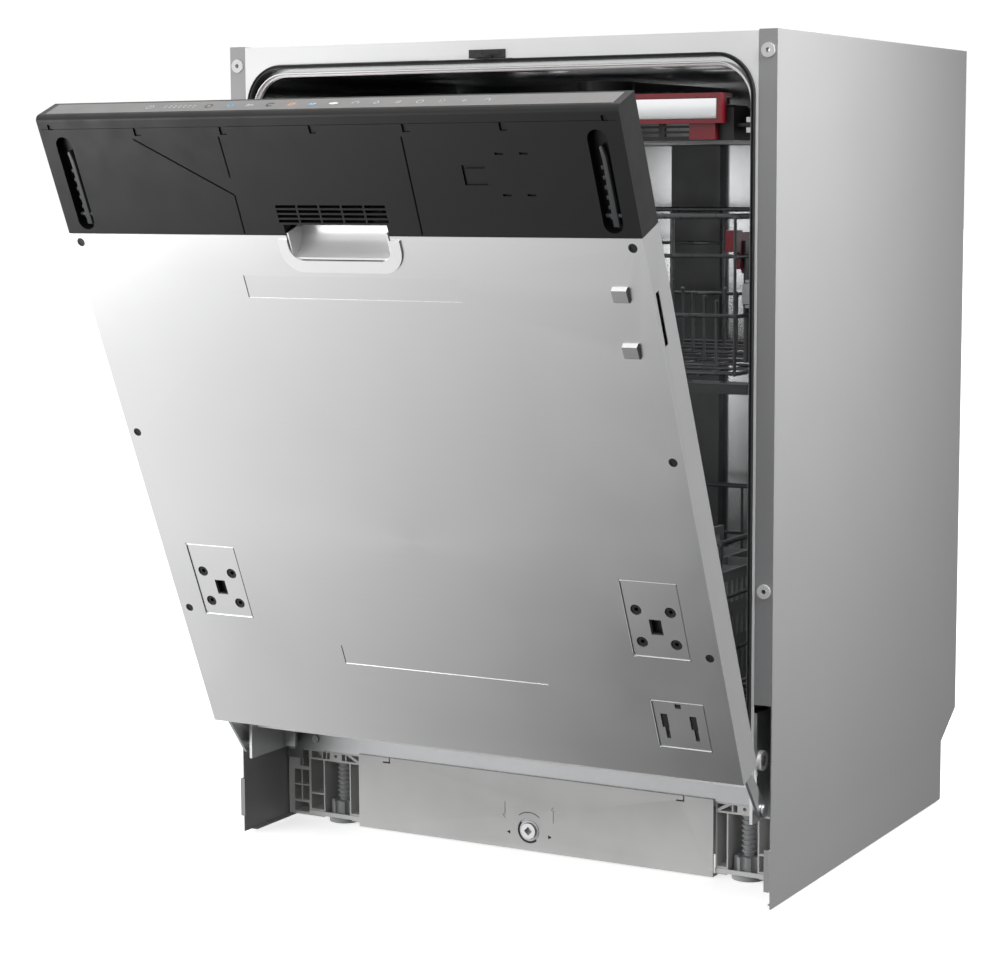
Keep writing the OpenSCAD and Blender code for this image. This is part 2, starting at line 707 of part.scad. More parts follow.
// Stainless inner panel: flat flange with a raised field that closes the mouth.
module door_liner()
  color("silver") difference() {
    union() {
      deep([-door_gap, -door_gap + liner_t]) translate([0, door_z - 12]) translate([-door_half + 1.5, 0])
        square([2 * door_half - 3, door_top - door_z + 8]);
      deep([-door_gap + liner_t - 0.1, liner_face]) outline(liner_half, liner_z, 40);
    }
    deep([-door_gap - 1, liner_face - liner_t])
      outline(liner_half - liner_t, [liner_z[0] + liner_t, liner_z[1] - liner_t], 40 - liner_t);
    block([-78.5, 118.5], [10, 40], [door_z + 218, door_z + 352]);
    block([-10, 10], [-6, 0], [striker_z - 4, striker_z + 7]);
    both_sides() block([hinge_ear_x[0] - 1.5, hinge_ear_x[1] + 1], [-6, 0], [door_z - 13, door_z + 2]);
  }

// Dark plastic blocks behind the steel that take the furniture-front screws.
module fixing_inserts()
  color("black") {
    for (x = [-bracket_x, bracket_x]) difference() {
      block([x - 31, x + 31], [front_y + sheet, front_y + 9], [bracket_z - 43, bracket_z + 43]);
      for (dx = [-hole_step, hole_step], dz = [-hole_step, hole_step])
        bar_y([x + dx, front_y, holes_z + dz], 12, 2);
      block([x - 4.5, x + 4.5], [front_y, front_y + 6], [holes_z - 7, holes_z + 7]);
    }
    block([214, 272], [front_y + sheet, front_y + 7], [door_z + 31, door_z + 88]);
  }

// Detergent and rinse-aid dispenser set into the inner panel.
module dispenser_body()
  color("lightgray") difference() {
    union() {
      block([-78, 118], [-2, liner_face + 1], [door_z + 218.5, door_z + 351.5]);
      block([-82, 122], [liner_face + 0.02, liner_face + 2], [door_z + 214.5, door_z + 355.5]);
    }
    block([lid_x - 37, lid_x + 37], [6, liner_face + 3], [lid_z - 20, lid_z + 64]);
    bar_y([rinse_x, 14, rinse_z], 20, 19);
    block([52, 104], [liner_face, liner_face + 3], [lid_z - 20, lid_z + 16]);
  }

module detergent_lid()
  color("gray") difference() {
    union() {
      block([lid_x - 36, lid_x + 36], [liner_face - 1, liner_face + 1.6], [lid_z - 12, lid_z + 60]);
      bar_x([lid_x - 36, liner_face - 1.4, lid_z - 15], 72, 3);
      block([lid_x - 36, lid_x + 36], [liner_face - 1.4, liner_face + 1.2], [lid_z - 15, lid_z - 11.9]);
      block([lid_x - 10, lid_x + 10], [liner_face + 1.5, liner_face + 5], [lid_z + 44, lid_z + 50]);
    }
    bar_x([lid_x - 40, liner_face - 1.4, lid_z - 15], 80, 1.2);
  }

module rinse_aid_cap()
  color("dimgray") {
    bar_y([rinse_x, 16, rinse_z], liner_face - 14, 18.4);
    block([rinse_x - 3, rinse_x + 3], [liner_face + 1.9, liner_face + 7], [rinse_z - 15, rinse_z + 15]);
  }

// Lock body behind the inner panel, slotted for the striker's tongue.
module door_lock()
  color("black") difference() {
    block([-30, 30], [-25, -door_gap - 0.3], [770, 802.6]);
    block([-9, 9], [-24, 0], [779.6, 804]);
  }

// Spring catch that rises into the tongue's window.
module latch_catch()
  color("darkred") difference() {
    union() {
      bar_x([-5, catch_y, catch_z], 10, 3.6);
      block([-2.6, 2.6], [catch_y, catch_y + 12], [catch_z - 2, catch_z + 2]);
      block([-2.6, 2.6], [catch_y + 8, catch_y + 12], [catch_z + 1.9, catch_z + 6.5]);
    }
    bar_x([-6, catch_y, catch_z], 12, 1.5);
  }

catch_y = -19.5;
catch_z = 786.6;

// Circuit board with relays and capacitors behind the touch strip.
module control_board()
  color("darkgreen") {
    block([-150, 130], [-15, -13.4], [steel_top + 30, steel_top + 66]);
    for (x = [-130, -100, -50, 20, 60]) block([x, x + 18], [-22, -14.9], [steel_top + 36, steel_top + 54]);
    for (x = [-20, 95, 110]) bar_y([x, -24, steel_top + 48], 9.1, 6);
  }

module door_screws()
  color("black") for (z = plug_z, x = [-plug_x, plug_x]) {
    bar_y([x, front_y + 0.4, z], 8, 2.9);
    bar_y([x, front_y + sheet + 0.05, z], 2, 4.4);
  }

// Steel arms that carry the door and turn on the hinge pins.
module hinge_arms()
  color("silver") both_sides() difference() {
    union() {
      bar_x([hinge_ear_x[0], hinge_y, hinge_z], hinge_ear_x[1] - hinge_ear_x[0], 8.5);
      translate([hinge_ear_x[0], 0, 0]) rotate([90, 0, 90])
        linear_extrude(hinge_ear_x[1] - hinge_ear_x[0])
          polygon([[-10, 94], [-24, 150], [-29, 166], [-29, 300], [-10, 300], [-10, 160], [-12, 150],
            [5, 101]]);
    }
    bar_x([hinge_ear_x[0] - 1, hinge_y, hinge_z], 6, hinge_pin_r + 0.06);
    for (z = [180, 280]) bar_x([hinge_ear_x[0] - 1, -19.5, z], 6, 3);
  }

// ---- Baskets and tray ----

upper_x_wires = 15;
upper_rim_z = 646;

// A basket's welded cage: floor grid, hoops at the given heights and uprights.
module cage(half, y, floor_z, hoops, n_long, n_cross, n_side) {
  hoop(half, y, floor_z);
  for (z = hoops) hoop(half, y, z);
  for (i = [1:n_long - 2]) {
    x = spread(-half, half, i, n_long);
    rod([x, y[0] - wire / 2, floor_z - 1.6], [x, y[1] + wire / 2, floor_z - 1.6], 3, 6);
  }
  for (i = [1:n_cross - 2]) {
    h = spread(y[0], y[1], i, n_cross);
    rod([-half - wire / 2, h, floor_z + 0.6], [half + wire / 2, h, floor_z + 0.6], 3, 6);
  }
  top = hoops[len(hoops) - 1];
  for (i = [0:n_side - 1], h = [y[0] + 1, y[1] - 1])
    rod([spread(-half + 1, half - 1, i, n_side), h, floor_z - 2.4],
      [spread(-half + 1, half - 1, i, n_side), h, top + 2], 3, 6);
  for (i = [1:4], x = [-half + 1, half - 1])
    rod([x, spread(y[0], y[1], i, 6), floor_z - 2.4], [x, spread(y[0], y[1], i, 6), top + 2], 3, 6);
}

// A row of upright tines on one base wire, along X at depth y.
module tine_row(x, y, z, h, n) {
  rod([x[0], y, z], [x[1], y, z], 3, 6);
  for (i = [0:n - 1]) {
    tine_x = spread(x[0] + 3, x[1] - 3, i, n);
    rod([tine_x, y, z - 1], [tine_x, y, z + h], 3, 6);
  }
}

// Telescopic runners with the carriers that the upper basket hangs from.
module upper_runners()
  color("silver") both_sides() {
    block([259, 268], [upper_y + 4, upper_y + upper_d - 4], [upper_rail_z - 9.4, upper_rail_z + 9.4]);
    for (y = [upper_y + 70, upper_y + upper_d - 90])
      block([256.6, 259.1], [y, y + 46], [upper_rail_z - 24, upper_rail_z + 30]);
  }

// Upper basket: cage, fixed tines, lever pivots and the feed pipe for its spray arm.
module upper_basket()
  color("dimgray") {
    cage(rack_half, [upper_y, upper_y + upper_d], upper_z, [555, 610, upper_rim_z], upper_x_wires, 9, 9);
    for (y = [84, 164, 244, 324]) tine_row([-200, 200], upper_y + y, upper_z + 0.2, 62, 9);
    both_sides() {
      block([250.6, 252.6], [lever_y - 14, lever_y + 14], [556, lever_z + 12]);
      bar_x([244, lever_y, lever_z - 12], 7, 3);
    }
    difference() {
      union() {
        block([-16, 16], [upper_arm_y - 16, upper_y + upper_d + 1], [upper_z - 18, upper_z - 2]);
        bar_z([0, upper_arm_y, upper_z - 18], 8, 24);
        bar_z([0, upper_arm_y, upper_z - 40], 23, arm_pin_r);
        bar_z([0, upper_arm_y, upper_z - 44], 4.1, 13);
      }
      bar_y([0, upper_y + upper_d - 40, upper_z - 10], 50, 5);
    }
  }

// Red levers, one each side, pressed together to change the basket's height.
module height_levers()
  color("darkred") both_sides() difference() {
    union() {
      bar_x([244.4, lever_y, lever_z - 12], 5.8, 7);
      block([244.4, 250.2], [lever_y - 22, lever_y + 8], [lever_z - 14, lever_z + 20]);
      block([240, 250.2], [lever_y - 32, lever_y - 16], [lever_z + 2, lever_z + 22]);
    }
    bar_x([240, lever_y, lever_z - 12], 14, 3.06);
  }

// A flat spray arm: two tapering blades, hub bore and rows of jets.
module spray_arm(reach, width, bearing)
  difference() {
    union() {
      cylinder(h = 11, r = width * 0.75, $fn = 48);
      linear_extrude(10) polygon([[-reach, -width * 0.28], [-reach + 12, -width * 0.4], [0, -width * 0.6],
        [reach - 12, -width * 0.4], [reach, -width * 0.28], [reach, width * 0.28], [reach - 12, width * 0.4],
        [0, width * 0.6], [-reach + 12, width * 0.4], [-reach, width * 0.28]]);
    }
    translate([0, 0, -1]) cylinder(h = 14, r = bearing, $fn = 48);
    for (s = [-1, 1], i = [1:4]) translate([s * reach * (0.2 + 0.19 * i), s * 3, 6])
      cylinder(h = 6, r = 1.8, $fn = 20);
  }

module upper_spray_arm()
  color("dimgray") translate([0, upper_arm_y, upper_z - 39.6 + 3]) spray_arm(196, 40, arm_pin_r + 0.06);

module lower_spray_arm()
  color("dimgray") translate([0, arm_y, tub_floor_z + 16]) spray_arm(212, 44, arm_pin_r + 0.06);

module ceiling_spray_arm()
  color("dimgray") translate([0, arm_y, 758.4]) spray_arm(92, 30, 8.06);

// Shallow tray for cutlery: slotted floor, rim, dividers and side fins for the rails.
module cutlery_tray()
  color("dimgray") difference() {
    union() {
      block([-rack_half, rack_half], [tray_y, tray_y + tray_d], tray_z);
      both_sides() block([rack_half - 1, 269], [tray_y + 8, tray_y + tray_d - 6],
        [tray_fin_z - 1.6, tray_fin_z + 1.6]);
    }
    for (c = tray_cells) block(c, [tray_y + 3, tray_y + tray_d - 3], [tray_z[0] + 2.4, tray_z[1] + 1]);
    for (c = tray_cells, j = [0:17]) block([c[0] + 6, c[1] - 6],
      [tray_y + 14 + 21.8 * j, tray_y + 26 + 21.8 * j], [tray_z[0] - 1, tray_z[0] + 4]);
    for (i = [0:7], j = [0:2]) block([-238 + 60.4 * i, -184 + 60.4 * i], [tray_y - 1, tray_y + 4],
      [tray_z[0] + 4 + 5 * j, tray_z[0] + 6.8 + 5 * j]);
  }

tray_cells = [[-rack_half + 3, -87], [-84, 84], [87, rack_half - 3]];

// Dark red grip bar across the tray's front with a shelf above and a tab at each end.
module tray_handle()
  color("darkred") difference() {
    union() {
      block([-247, 247], [tray_y - 12, tray_y - 0.05], [731.6, 759]);
      block([-247, 247], [tray_y - 0.1, tray_y + 12], [755.4, 759]);
      both_sides() block([213, 239], [tray_y - 8, tray_y - 0.05], [717, 731.7]);
    }
    block([-242, 242], [tray_y - 13, tray_y - 11], [735.4, 754.4]);
    block([-80, 80], [tray_y - 9, tray_y + 1], [731, 744]);
  }

// Lower basket: cage, fixed tines, pivots for the folding row and axle brackets for the wheels.
module lower_basket()
  color("dimgray") {
    cage(lower_half, [lower_y, lower_y + lower_d], lower_z, [236, 288, lower_rim_z], 15, 9, 10);
    for (y = [60, 112, 164, 216]) tine_row([-206, 96], lower_y + y, lower_z + 0.2, 82, 8);
    both_sides() for (y = wheel_y) difference() {
      union() {
        block([lower_half - 2.6, lower_half + 1], [y - 9, y + 9], [axle_z - 9, lower_z]);
        bar_x([lower_half + 0.9, y, axle_z], 13, 3);
        bar_x([lower_half + 11.4, y, axle_z], 2.5, 5);
      }
      block([0, 300], [y - 10, y + 10], [axle_z - 20, axle_z - 8.9]);
    }
    for (x = [-208, 92]) difference() {
      block([x - 3, x + 3], [tines_y - 6, tines_y + 6], [lower_z - 1, lower_z + 13]);
      bar_x([x - 4, tines_y, tines_z], 8, 2.06);
    }
  }

lower_half = 236;
axle_z = tub_floor_z + 5.3 + wheel_r;
wheel_y = [lower_y + 48, lower_y + 344];
tines_z = lower_z + 8;

// Tine row that folds flat towards the back for large pans.
module folding_tines()
  color("gray") {
    bar_x([-214, tines_y, tines_z], 312, 2);
    for (i = [0:9]) rod([spread(-200, 84, i, 10), tines_y, tines_z],
      [spread(-200, 84, i, 10), tines_y, tines_z + 84], 3, 6);
  }

module lower_wheels(y)
  color("gray") both_sides() difference() {
    bar_x([lower_half + 2, y, axle_z], 9, wheel_r);
    bar_x([lower_half, y, axle_z], 14, 3.06);
    for (i = [0:5]) bar_x([lower_half + 8, y + 11 * cos(60 * i), axle_z + 11 * sin(60 * i)], 6, 3.4);
    difference() {
      bar_x([lower_half + 8.5, y, axle_z], 4, wheel_r - 2);
      bar_x([lower_half + 8, y, axle_z], 5, 6);
    }
  }

// Slatted basket for cutlery that lifts out of the lower basket.
module cutlery_basket()
  color("gray") difference() {
    union() {
      block(cb_x, cb_y, [lower_z + 3, cb_top]);
      block([sum_half(cb_x) - 2, sum_half(cb_x) + 2], [sum_half(cb_y) - 40, sum_half(cb_y) + 40],
        [cb_top - 0.1, cb_top + 34]);
    }
    for (i = [0:3]) block([cb_x[0] + 2.5, sum_half(cb_x) - 1.2],
      [cb_cell(i), cb_cell(i) + cb_pitch - 2.4], [lower_z + 5.5, cb_top + 1]);
    for (i = [0:3]) block([sum_half(cb_x) + 1.2, cb_x[1] - 2.5],
      [cb_cell(i), cb_cell(i) + cb_pitch - 2.4], [lower_z + 5.5, cb_top + 1]);
    for (i = [0:16], z = [lower_z + 14, lower_z + 50, lower_z + 84])
      block([cb_x[0] - 1, cb_x[1] + 1], [cb_y[0] + 8 + 12 * i, cb_y[0] + 14 + 12 * i], [z, z + 22]);
    for (i = [0:5], z = [lower_z + 14, lower_z + 50, lower_z + 84])
      block([cb_x[0] + 6 + 12 * i, cb_x[0] + 12 + 12 * i], [cb_y[0] - 1, cb_y[1] + 1], [z, z + 22]);
    block([cb_x[0], cb_x[1]], [sum_half(cb_y) - 30, sum_half(cb_y) + 30], [cb_top + 14, cb_top + 26]);
  }

cb_x = [124, 204];
cb_y = [lower_y + 14, lower_y + 230];
cb_top = 300;
cb_pitch = (cb_y[1] - cb_y[0] - 2.4) / 4;
function sum_half(v) = (v[0] + v[1]) / 2;
function cb_cell(i) = cb_y[0] + 2.4 + cb_pitch * i;

// ---- Small turning parts and feet ----

// Cup-shaped micro filter with a bayonet grip.
module filter_cylinder()
  color("silver") translate([filter_x, filter_y, 0]) difference() {
    union() {
      bar_z([0, 0, 68], tub_floor_z - 60, 27.6);
      bar_z([0, 0, tub_floor_z + 1.7], 3, 33);
      block([-26, 26], [-3, 3], [tub_floor_z + 4, tub_floor_z + 13]);
    }
    bar_z([0, 0, 70.5], tub_floor_z - 64, 25.6);
  }

module salt_cap()
  color("whitesmoke") translate([salt_x, salt_y, 0]) {
    bar_z([0, 0, tub_floor_z - 2], 12, 35.6);
    difference() {
      bar_z([0, 0, tub_floor_z + 9.9], 5, 31);
      for (i = [0:7]) bar_z([33 * cos(45 * i), 33 * sin(45 * i), tub_floor_z + 9], 7, 5);
    }
  }

// Front foot: coarse threaded spindle, castellated wheel and pad.
module front_foot()
  color("dimgray") translate([foot_x, foot_y, 0]) {
    rotate_extrude($fn = 48) polygon(concat([[0, 22.9], [spindle_r - 1.6, 22.9]],
      [for (i = [0:18]) each [[spindle_r - 1.6, 26 + spindle_pitch * i],
        [spindle_r, 27 + spindle_pitch * i], [spindle_r, 28.4 + spindle_pitch * i],
        [spindle_r - 1.6, 29.4 + spindle_pitch * i]]], [[0, 121]]));
    difference() {
      bar_z([0, 0, 5], 18, foot_wheel_r);
      for (i = [0:7]) bar_z([foot_wheel_r * cos(45 * i), foot_wheel_r * sin(45 * i), 8], 16, 3.6);
    }
    bar_z([0, 0, 0], 5.1, 17);
  }

module rear_foot()
  color("dimgray") translate([0, rear_foot_y, 0]) {
    rotate_extrude($fn = 48) polygon(concat([[0, 6], [7.6, 6]],
      [for (i = [0:16]) each [[7.6, 8 + spindle_pitch * i], [9.3, 9 + spindle_pitch * i],
        [9.3, 10.4 + spindle_pitch * i], [7.6, 11.4 + spindle_pitch * i]]], [[0, 96]]));
    bar_z([0, 0, 0], 6.1, 16);
  }

// Long shaft from the plinth's socket to the pinion beside the rear foot.
module rear_adjuster()
  color("silver") translate([adjuster_x, 0, adjuster_z]) rotate([-90, 0, 0]) {
    difference() {
      translate([0, 0, kick_setback - 5]) cylinder(h = 14, r = 8, $fn = 40);
      translate([0, 0, kick_setback - 6]) cylinder(h = 9, r = 4.6, $fn = 4);
    }
    translate([0, 0, kick_setback + 8.9]) cylinder(h = rear_foot_y - kick_setback - 28, r = 4, $fn = 40);
    difference() {
      translate([0, 0, rear_foot_y - 26]) cylinder(h = 7, r = 8, $fn = 40);
      for (i = [0:9]) rotate(36 * i) translate([7, -0.9, rear_foot_y - 27]) cube([3, 1.8, 9]);
    }
  }

// ---- Each node in its place ----

placed() mirror([1, 0, 0]) side_panel();  // side_panel_left
placed() side_panel();  // side_panel_right
placed() front_frame();
placed() door_seal();
placed() tub_wrap();
placed() tub_back();
placed() tub_floor();
placed() back_panel();
placed() base_tray();
placed() front_crossbar();
placed() kick_plate();
placed() foot_housings();
placed() sump();
placed() circulation_pump();
placed() drain_pump();
placed() flow_heater();
placed() water_softener();
placed() inlet_valve();
placed() air_break_chamber();
placed() junction_box();
placed() water_feed_pipe();
placed() latch_striker();
placed() hinge_brackets();
placed() door_springs();
placed() slide_rails();
placed() cabinet_fasteners();
placed() filter_plate();
on_door() door_outer_panel();
on_door() door_liner();
on_door() control_panel();
on_door() touch_strip();
on_door() handle_cup();
on_door() fixing_inserts();
on_door() dispenser_body();
on_door() door_lock();
on_door() control_board();
on_door() door_screws();
on_door() hinge_arms();
on_door() detergent_lid();
on_door() rinse_aid_cap();
on_door() latch_catch();
placed() cutlery_tray();
placed() tray_handle();
placed() upper_runners();
placed() upper_basket();
placed() height_levers();
placed() upper_spray_arm();
placed() lower_basket();
placed() cutlery_basket();
placed() folding_tines();
placed() lower_wheels(wheel_y[0]);  // lower_wheels_front
placed() lower_wheels(wheel_y[1]);  // lower_wheels_rear
placed() lower_spray_arm();
placed() ceiling_spray_arm();
placed() filter_cylinder();
placed() salt_cap();
placed() mirror([1, 0, 0]) front_foot();  // front_foot_left
placed() front_foot();  // front_foot_right
placed() rear_foot();
placed() rear_adjuster();
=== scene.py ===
import json
import math

import bmesh
import bpy
from mathutils import Matrix, Vector


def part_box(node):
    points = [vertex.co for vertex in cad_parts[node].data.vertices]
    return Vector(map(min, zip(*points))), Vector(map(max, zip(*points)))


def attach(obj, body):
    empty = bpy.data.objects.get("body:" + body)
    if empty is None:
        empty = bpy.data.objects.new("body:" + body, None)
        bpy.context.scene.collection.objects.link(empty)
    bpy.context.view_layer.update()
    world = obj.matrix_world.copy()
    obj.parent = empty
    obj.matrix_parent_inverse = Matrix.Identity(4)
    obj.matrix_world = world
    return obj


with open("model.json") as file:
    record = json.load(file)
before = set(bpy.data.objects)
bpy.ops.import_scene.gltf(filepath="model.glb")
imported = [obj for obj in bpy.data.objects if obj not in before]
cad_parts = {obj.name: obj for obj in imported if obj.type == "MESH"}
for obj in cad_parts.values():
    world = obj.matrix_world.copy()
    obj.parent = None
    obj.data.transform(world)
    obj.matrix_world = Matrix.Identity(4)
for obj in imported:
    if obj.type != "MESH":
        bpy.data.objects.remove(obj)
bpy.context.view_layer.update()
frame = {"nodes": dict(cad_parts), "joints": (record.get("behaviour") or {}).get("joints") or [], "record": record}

# Pieces are drawn in millimetres in the cabinet's own frame: X across, Y behind the front flanges, Z up.
# CABINET takes them to the scene's metres; DOOR does so with the door swung open by its rest angle.
JOINTS = {j["name"]: j for j in frame["joints"]}
NODES = frame["nodes"]
MM = 0.001
flange_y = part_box("front_frame")[0].y
CABINET = Matrix.Translation((0, flange_y, 0)) @ Matrix.Scale(MM, 4)
hinge = Vector(JOINTS["door_hinge"]["pos_m"])
door_open = math.radians(-JOINTS["door_hinge"]["range_deg"][0])
DOOR = Matrix.Translation(hinge) @ Matrix.Rotation(door_open, 4, "X") @ Matrix.Translation(-hinge) @ CABINET

# Cabinet depth; the door's front face, lower edge, top of its steel sheet and top of its plastic head.
CAB_D = 518.0
FRONT_Y, DOOR_Z, STEEL_TOP, DOOR_TOP = -36.0, 150.0, 695.0, 810.0
# The mouth and the inner door: half width, lower and upper edge, then corner radius or depth of the face.
MOUTH_HALF, MOUTH_Z, MOUTH_R = 270.0, (134.0, 784.0), 34.0
LINER_HALF, LINER_Z, LINER_FACE = 258.0, (142.0, 764.0), 30.0
# The tub: ceiling, half width, back and floor; the axis of the lower and ceiling spray arms.
TUB_TOP, TUB_HALF, TUB_BACK, FLOOR_Z, ARM_Y = 786.0, 276.0, 486.0, 128.0, 250.0
# The baskets and the tray: front, depth, bottom, half width, height of the rim.
UPPER_Y, UPPER_D, UPPER_Z, RACK_HALF, UPPER_RIM = 12.0, 400.0, 502.0, 254.0, 646
LOWER_Y, LOWER_D, LOWER_Z, LOWER_HALF, LOWER_RIM = 24.0, 408.0, 184.0, 236.0, 340
TRAY_Y = 6.0
SIDES = (-1, 1)


# ---- Mesh helpers ----

WIDEST_EDGE = 0.45  # of the shortest side of a block
DOME = 0.5  # height of a wire's rounded end, in radii


class Shape:
    """One piece's mesh, gathered from bevelled solids."""

    def __init__(self):
        self.bm = bmesh.new()

    def bevel(self, edges, offset, mat=0):
        bmesh.ops.bevel(self.bm, geom=edges, offset=offset, segments=2, profile=0.5, affect="EDGES",
                        clamp_overlap=True, material=mat)

    def block(self, x, y, z, edge=0.6, mat=0, turn=None):
        """A box with rounded edges."""
        size = Vector((x[1] - x[0], y[1] - y[0], z[1] - z[0]))
        centre = Vector(((x[1] + x[0]) / 2, (y[1] + y[0]) / 2, (z[1] + z[0]) / 2))
        place = Matrix.Translation(centre) @ (turn or Matrix.Identity(4)) @ Matrix.Diagonal((*size, 1))
        verts = bmesh.ops.create_cube(self.bm, size=1, matrix=place)["verts"]
        for face in {f for v in verts for f in v.link_faces}:
            face.material_index = mat
        if edge:
            edges = {e for v in verts for e in v.link_edges}
            self.bevel(list(edges), min(edge, min(size) * WIDEST_EDGE), mat)
        return self

    def plate(self, points, y, edge=0.0):
        """An XZ outline pulled through the depth y."""
        rows = [[self.bm.verts.new((px, d, pz)) for px, pz in points] for d in y]
        faces = [self.bm.faces.new(rows[0]), self.bm.faces.new(rows[1][::-1])]
        n = len(points)
        for i in range(n):
            j = (i + 1) % n
            faces.append(self.bm.faces.new((rows[0][i], rows[0][j], rows[1][j], rows[1][i])))
        if edge:
            self.bevel([e for f in faces[:2] for e in f.edges], edge)
        return self

    def lathe(self, profile, centre, axis="Z", steps=32, mat=0):
        """Turns (radius, height) pairs round an axis through centre."""
        turn = {"X": Matrix.Rotation(math.pi / 2, 4, "Y"), "Y": Matrix.Rotation(-math.pi / 2, 4, "X"),
                "Z": Matrix.Identity(4)}[axis]
        place = Matrix.Translation(centre) @ turn
        rings = []
        for r, h in profile:
            if r < 1e-6:
                rings.append([self.bm.verts.new(place @ Vector((0, 0, h)))])
            else:
                rings.append([self.bm.verts.new(place @ Vector((r * math.cos(a), r * math.sin(a), h)))
                              for a in turns(steps)])
        for low, high in zip(rings, rings[1:]):
            for i in range(steps):
                j = (i + 1) % steps
                if len(low) == 1 and len(high) == 1:
                    continue
                if len(low) == 1:
                    corners = (low[0], high[j], high[i])
                elif len(high) == 1:
                    corners = (low[i], low[j], high[0])
                else:
                    corners = (low[i], low[j], high[j], high[i])
                self.bm.faces.new(corners).material_index = mat
        return self

    def sweep(self, path, r, steps, closed=False):
        """A round wire along a path."""
        path = [Vector(p) for p in path]
        n = len(path)
        rings, side = [], None
        for i, p in enumerate(path):
            before = (i - 1) % n if closed else max(i - 1, 0)
            after = (i + 1) % n if closed else min(i + 1, n - 1)
            along = (path[after] - path[before]).normalized()
            if side is None:
                side = along.orthogonal().normalized()
            side = (side - along * side.dot(along)).normalized()
            up = along.cross(side)
            rings.append([self.bm.verts.new(p + r * (math.cos(t) * side + math.sin(t) * up))
                          for t in turns(steps)])
        pairs = list(zip(rings, rings[1:])) + ([(rings[-1], rings[0])] if closed else [])
        for low, high in pairs:
            shift = 0
            if closed and high is rings[0]:
                shift = min(range(steps), key=lambda s: (low[0].co - high[s].co).length)
            for k in range(steps):
                m = (k + 1) % steps
                self.bm.faces.new((low[k], low[m], high[(m + shift) % steps], high[(k + shift) % steps]))
        if not closed:
            for ring, last, inner in ((rings[0], path[0], path[1]), (rings[-1], path[-1], path[-2])):
                end = self.bm.verts.new(last + (last - inner).normalized() * r * DOME)
                for k in range(steps):
                    self.bm.faces.new((ring[k], ring[(k + 1) % steps], end))
        return self

    def loft(self, profile, half, z, r, skip=4):
        """A strip round the mouth: profile gives (distance out from the mouth, y) pairs. It stays open below,
        where skip corner points are left out on each side."""
        rows = []
        for off, y in profile:
            points = rounded(half + off, (z[0] - off, z[1] + off), r + off)[skip:-skip]
            rows.append([self.bm.verts.new((px, y, pz)) for px, pz in points])
        n = len(profile)
        for k in range(n):
            low, high = rows[k], rows[(k + 1) % n]
            for i in range(len(low) - 1):
                self.bm.faces.new((low[i], low[i + 1], high[i + 1], high[i]))
        for i in (0, -1):
            self.bm.faces.new([row[i] for row in rows])
        return self

    def piece(self, name, body, slot, materials, place=CABINET, sharp=35):
        """Writes the mesh as a named piece that rides on a body."""
        bmesh.ops.recalc_face_normals(self.bm, faces=self.bm.faces)
        self.bm.transform(place)
        mesh = bpy.data.meshes.new(name)
        self.bm.to_mesh(mesh)
        self.bm.free()
        for m in materials:
            mesh.materials.append(m)
        mesh.shade_smooth()
        mesh.set_sharp_from_angle(angle=math.radians(sharp))
        obj = bpy.data.objects.new(name, mesh)
        bpy.context.scene.collection.objects.link(obj)
        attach(obj, body)
        return obj


def turns(steps):
    """The angles of a full turn in equal steps."""
    return [2 * math.pi * i / steps for i in range(steps)]


def rounded(half, z, r, steps=10):
    """The corner points of a round-cornered rectangle, centred across."""
    points = []
    for cx, cz, start in ((half - r, z[0] + r, -90), (half - r, z[1] - r, 0),
                          (-half + r, z[1] - r, 90), (-half + r, z[0] + r, 180)):
        for i in range(steps + 1):
            a = math.radians(start + 90 * i / steps)
            points.append((cx + r * math.cos(a), cz + r * math.sin(a)))
    return points


def spread(a, b, n):
    """The n values evenly from a to b."""
    return [a + (b - a) * i / (n - 1) for i in range(n)]


# ---- Materials ----

# Sockets of the mix node when it mixes colours.
MIX_FACTOR, MIX_A, MIX_B, MIX_RESULT = 0, 6, 7, 2


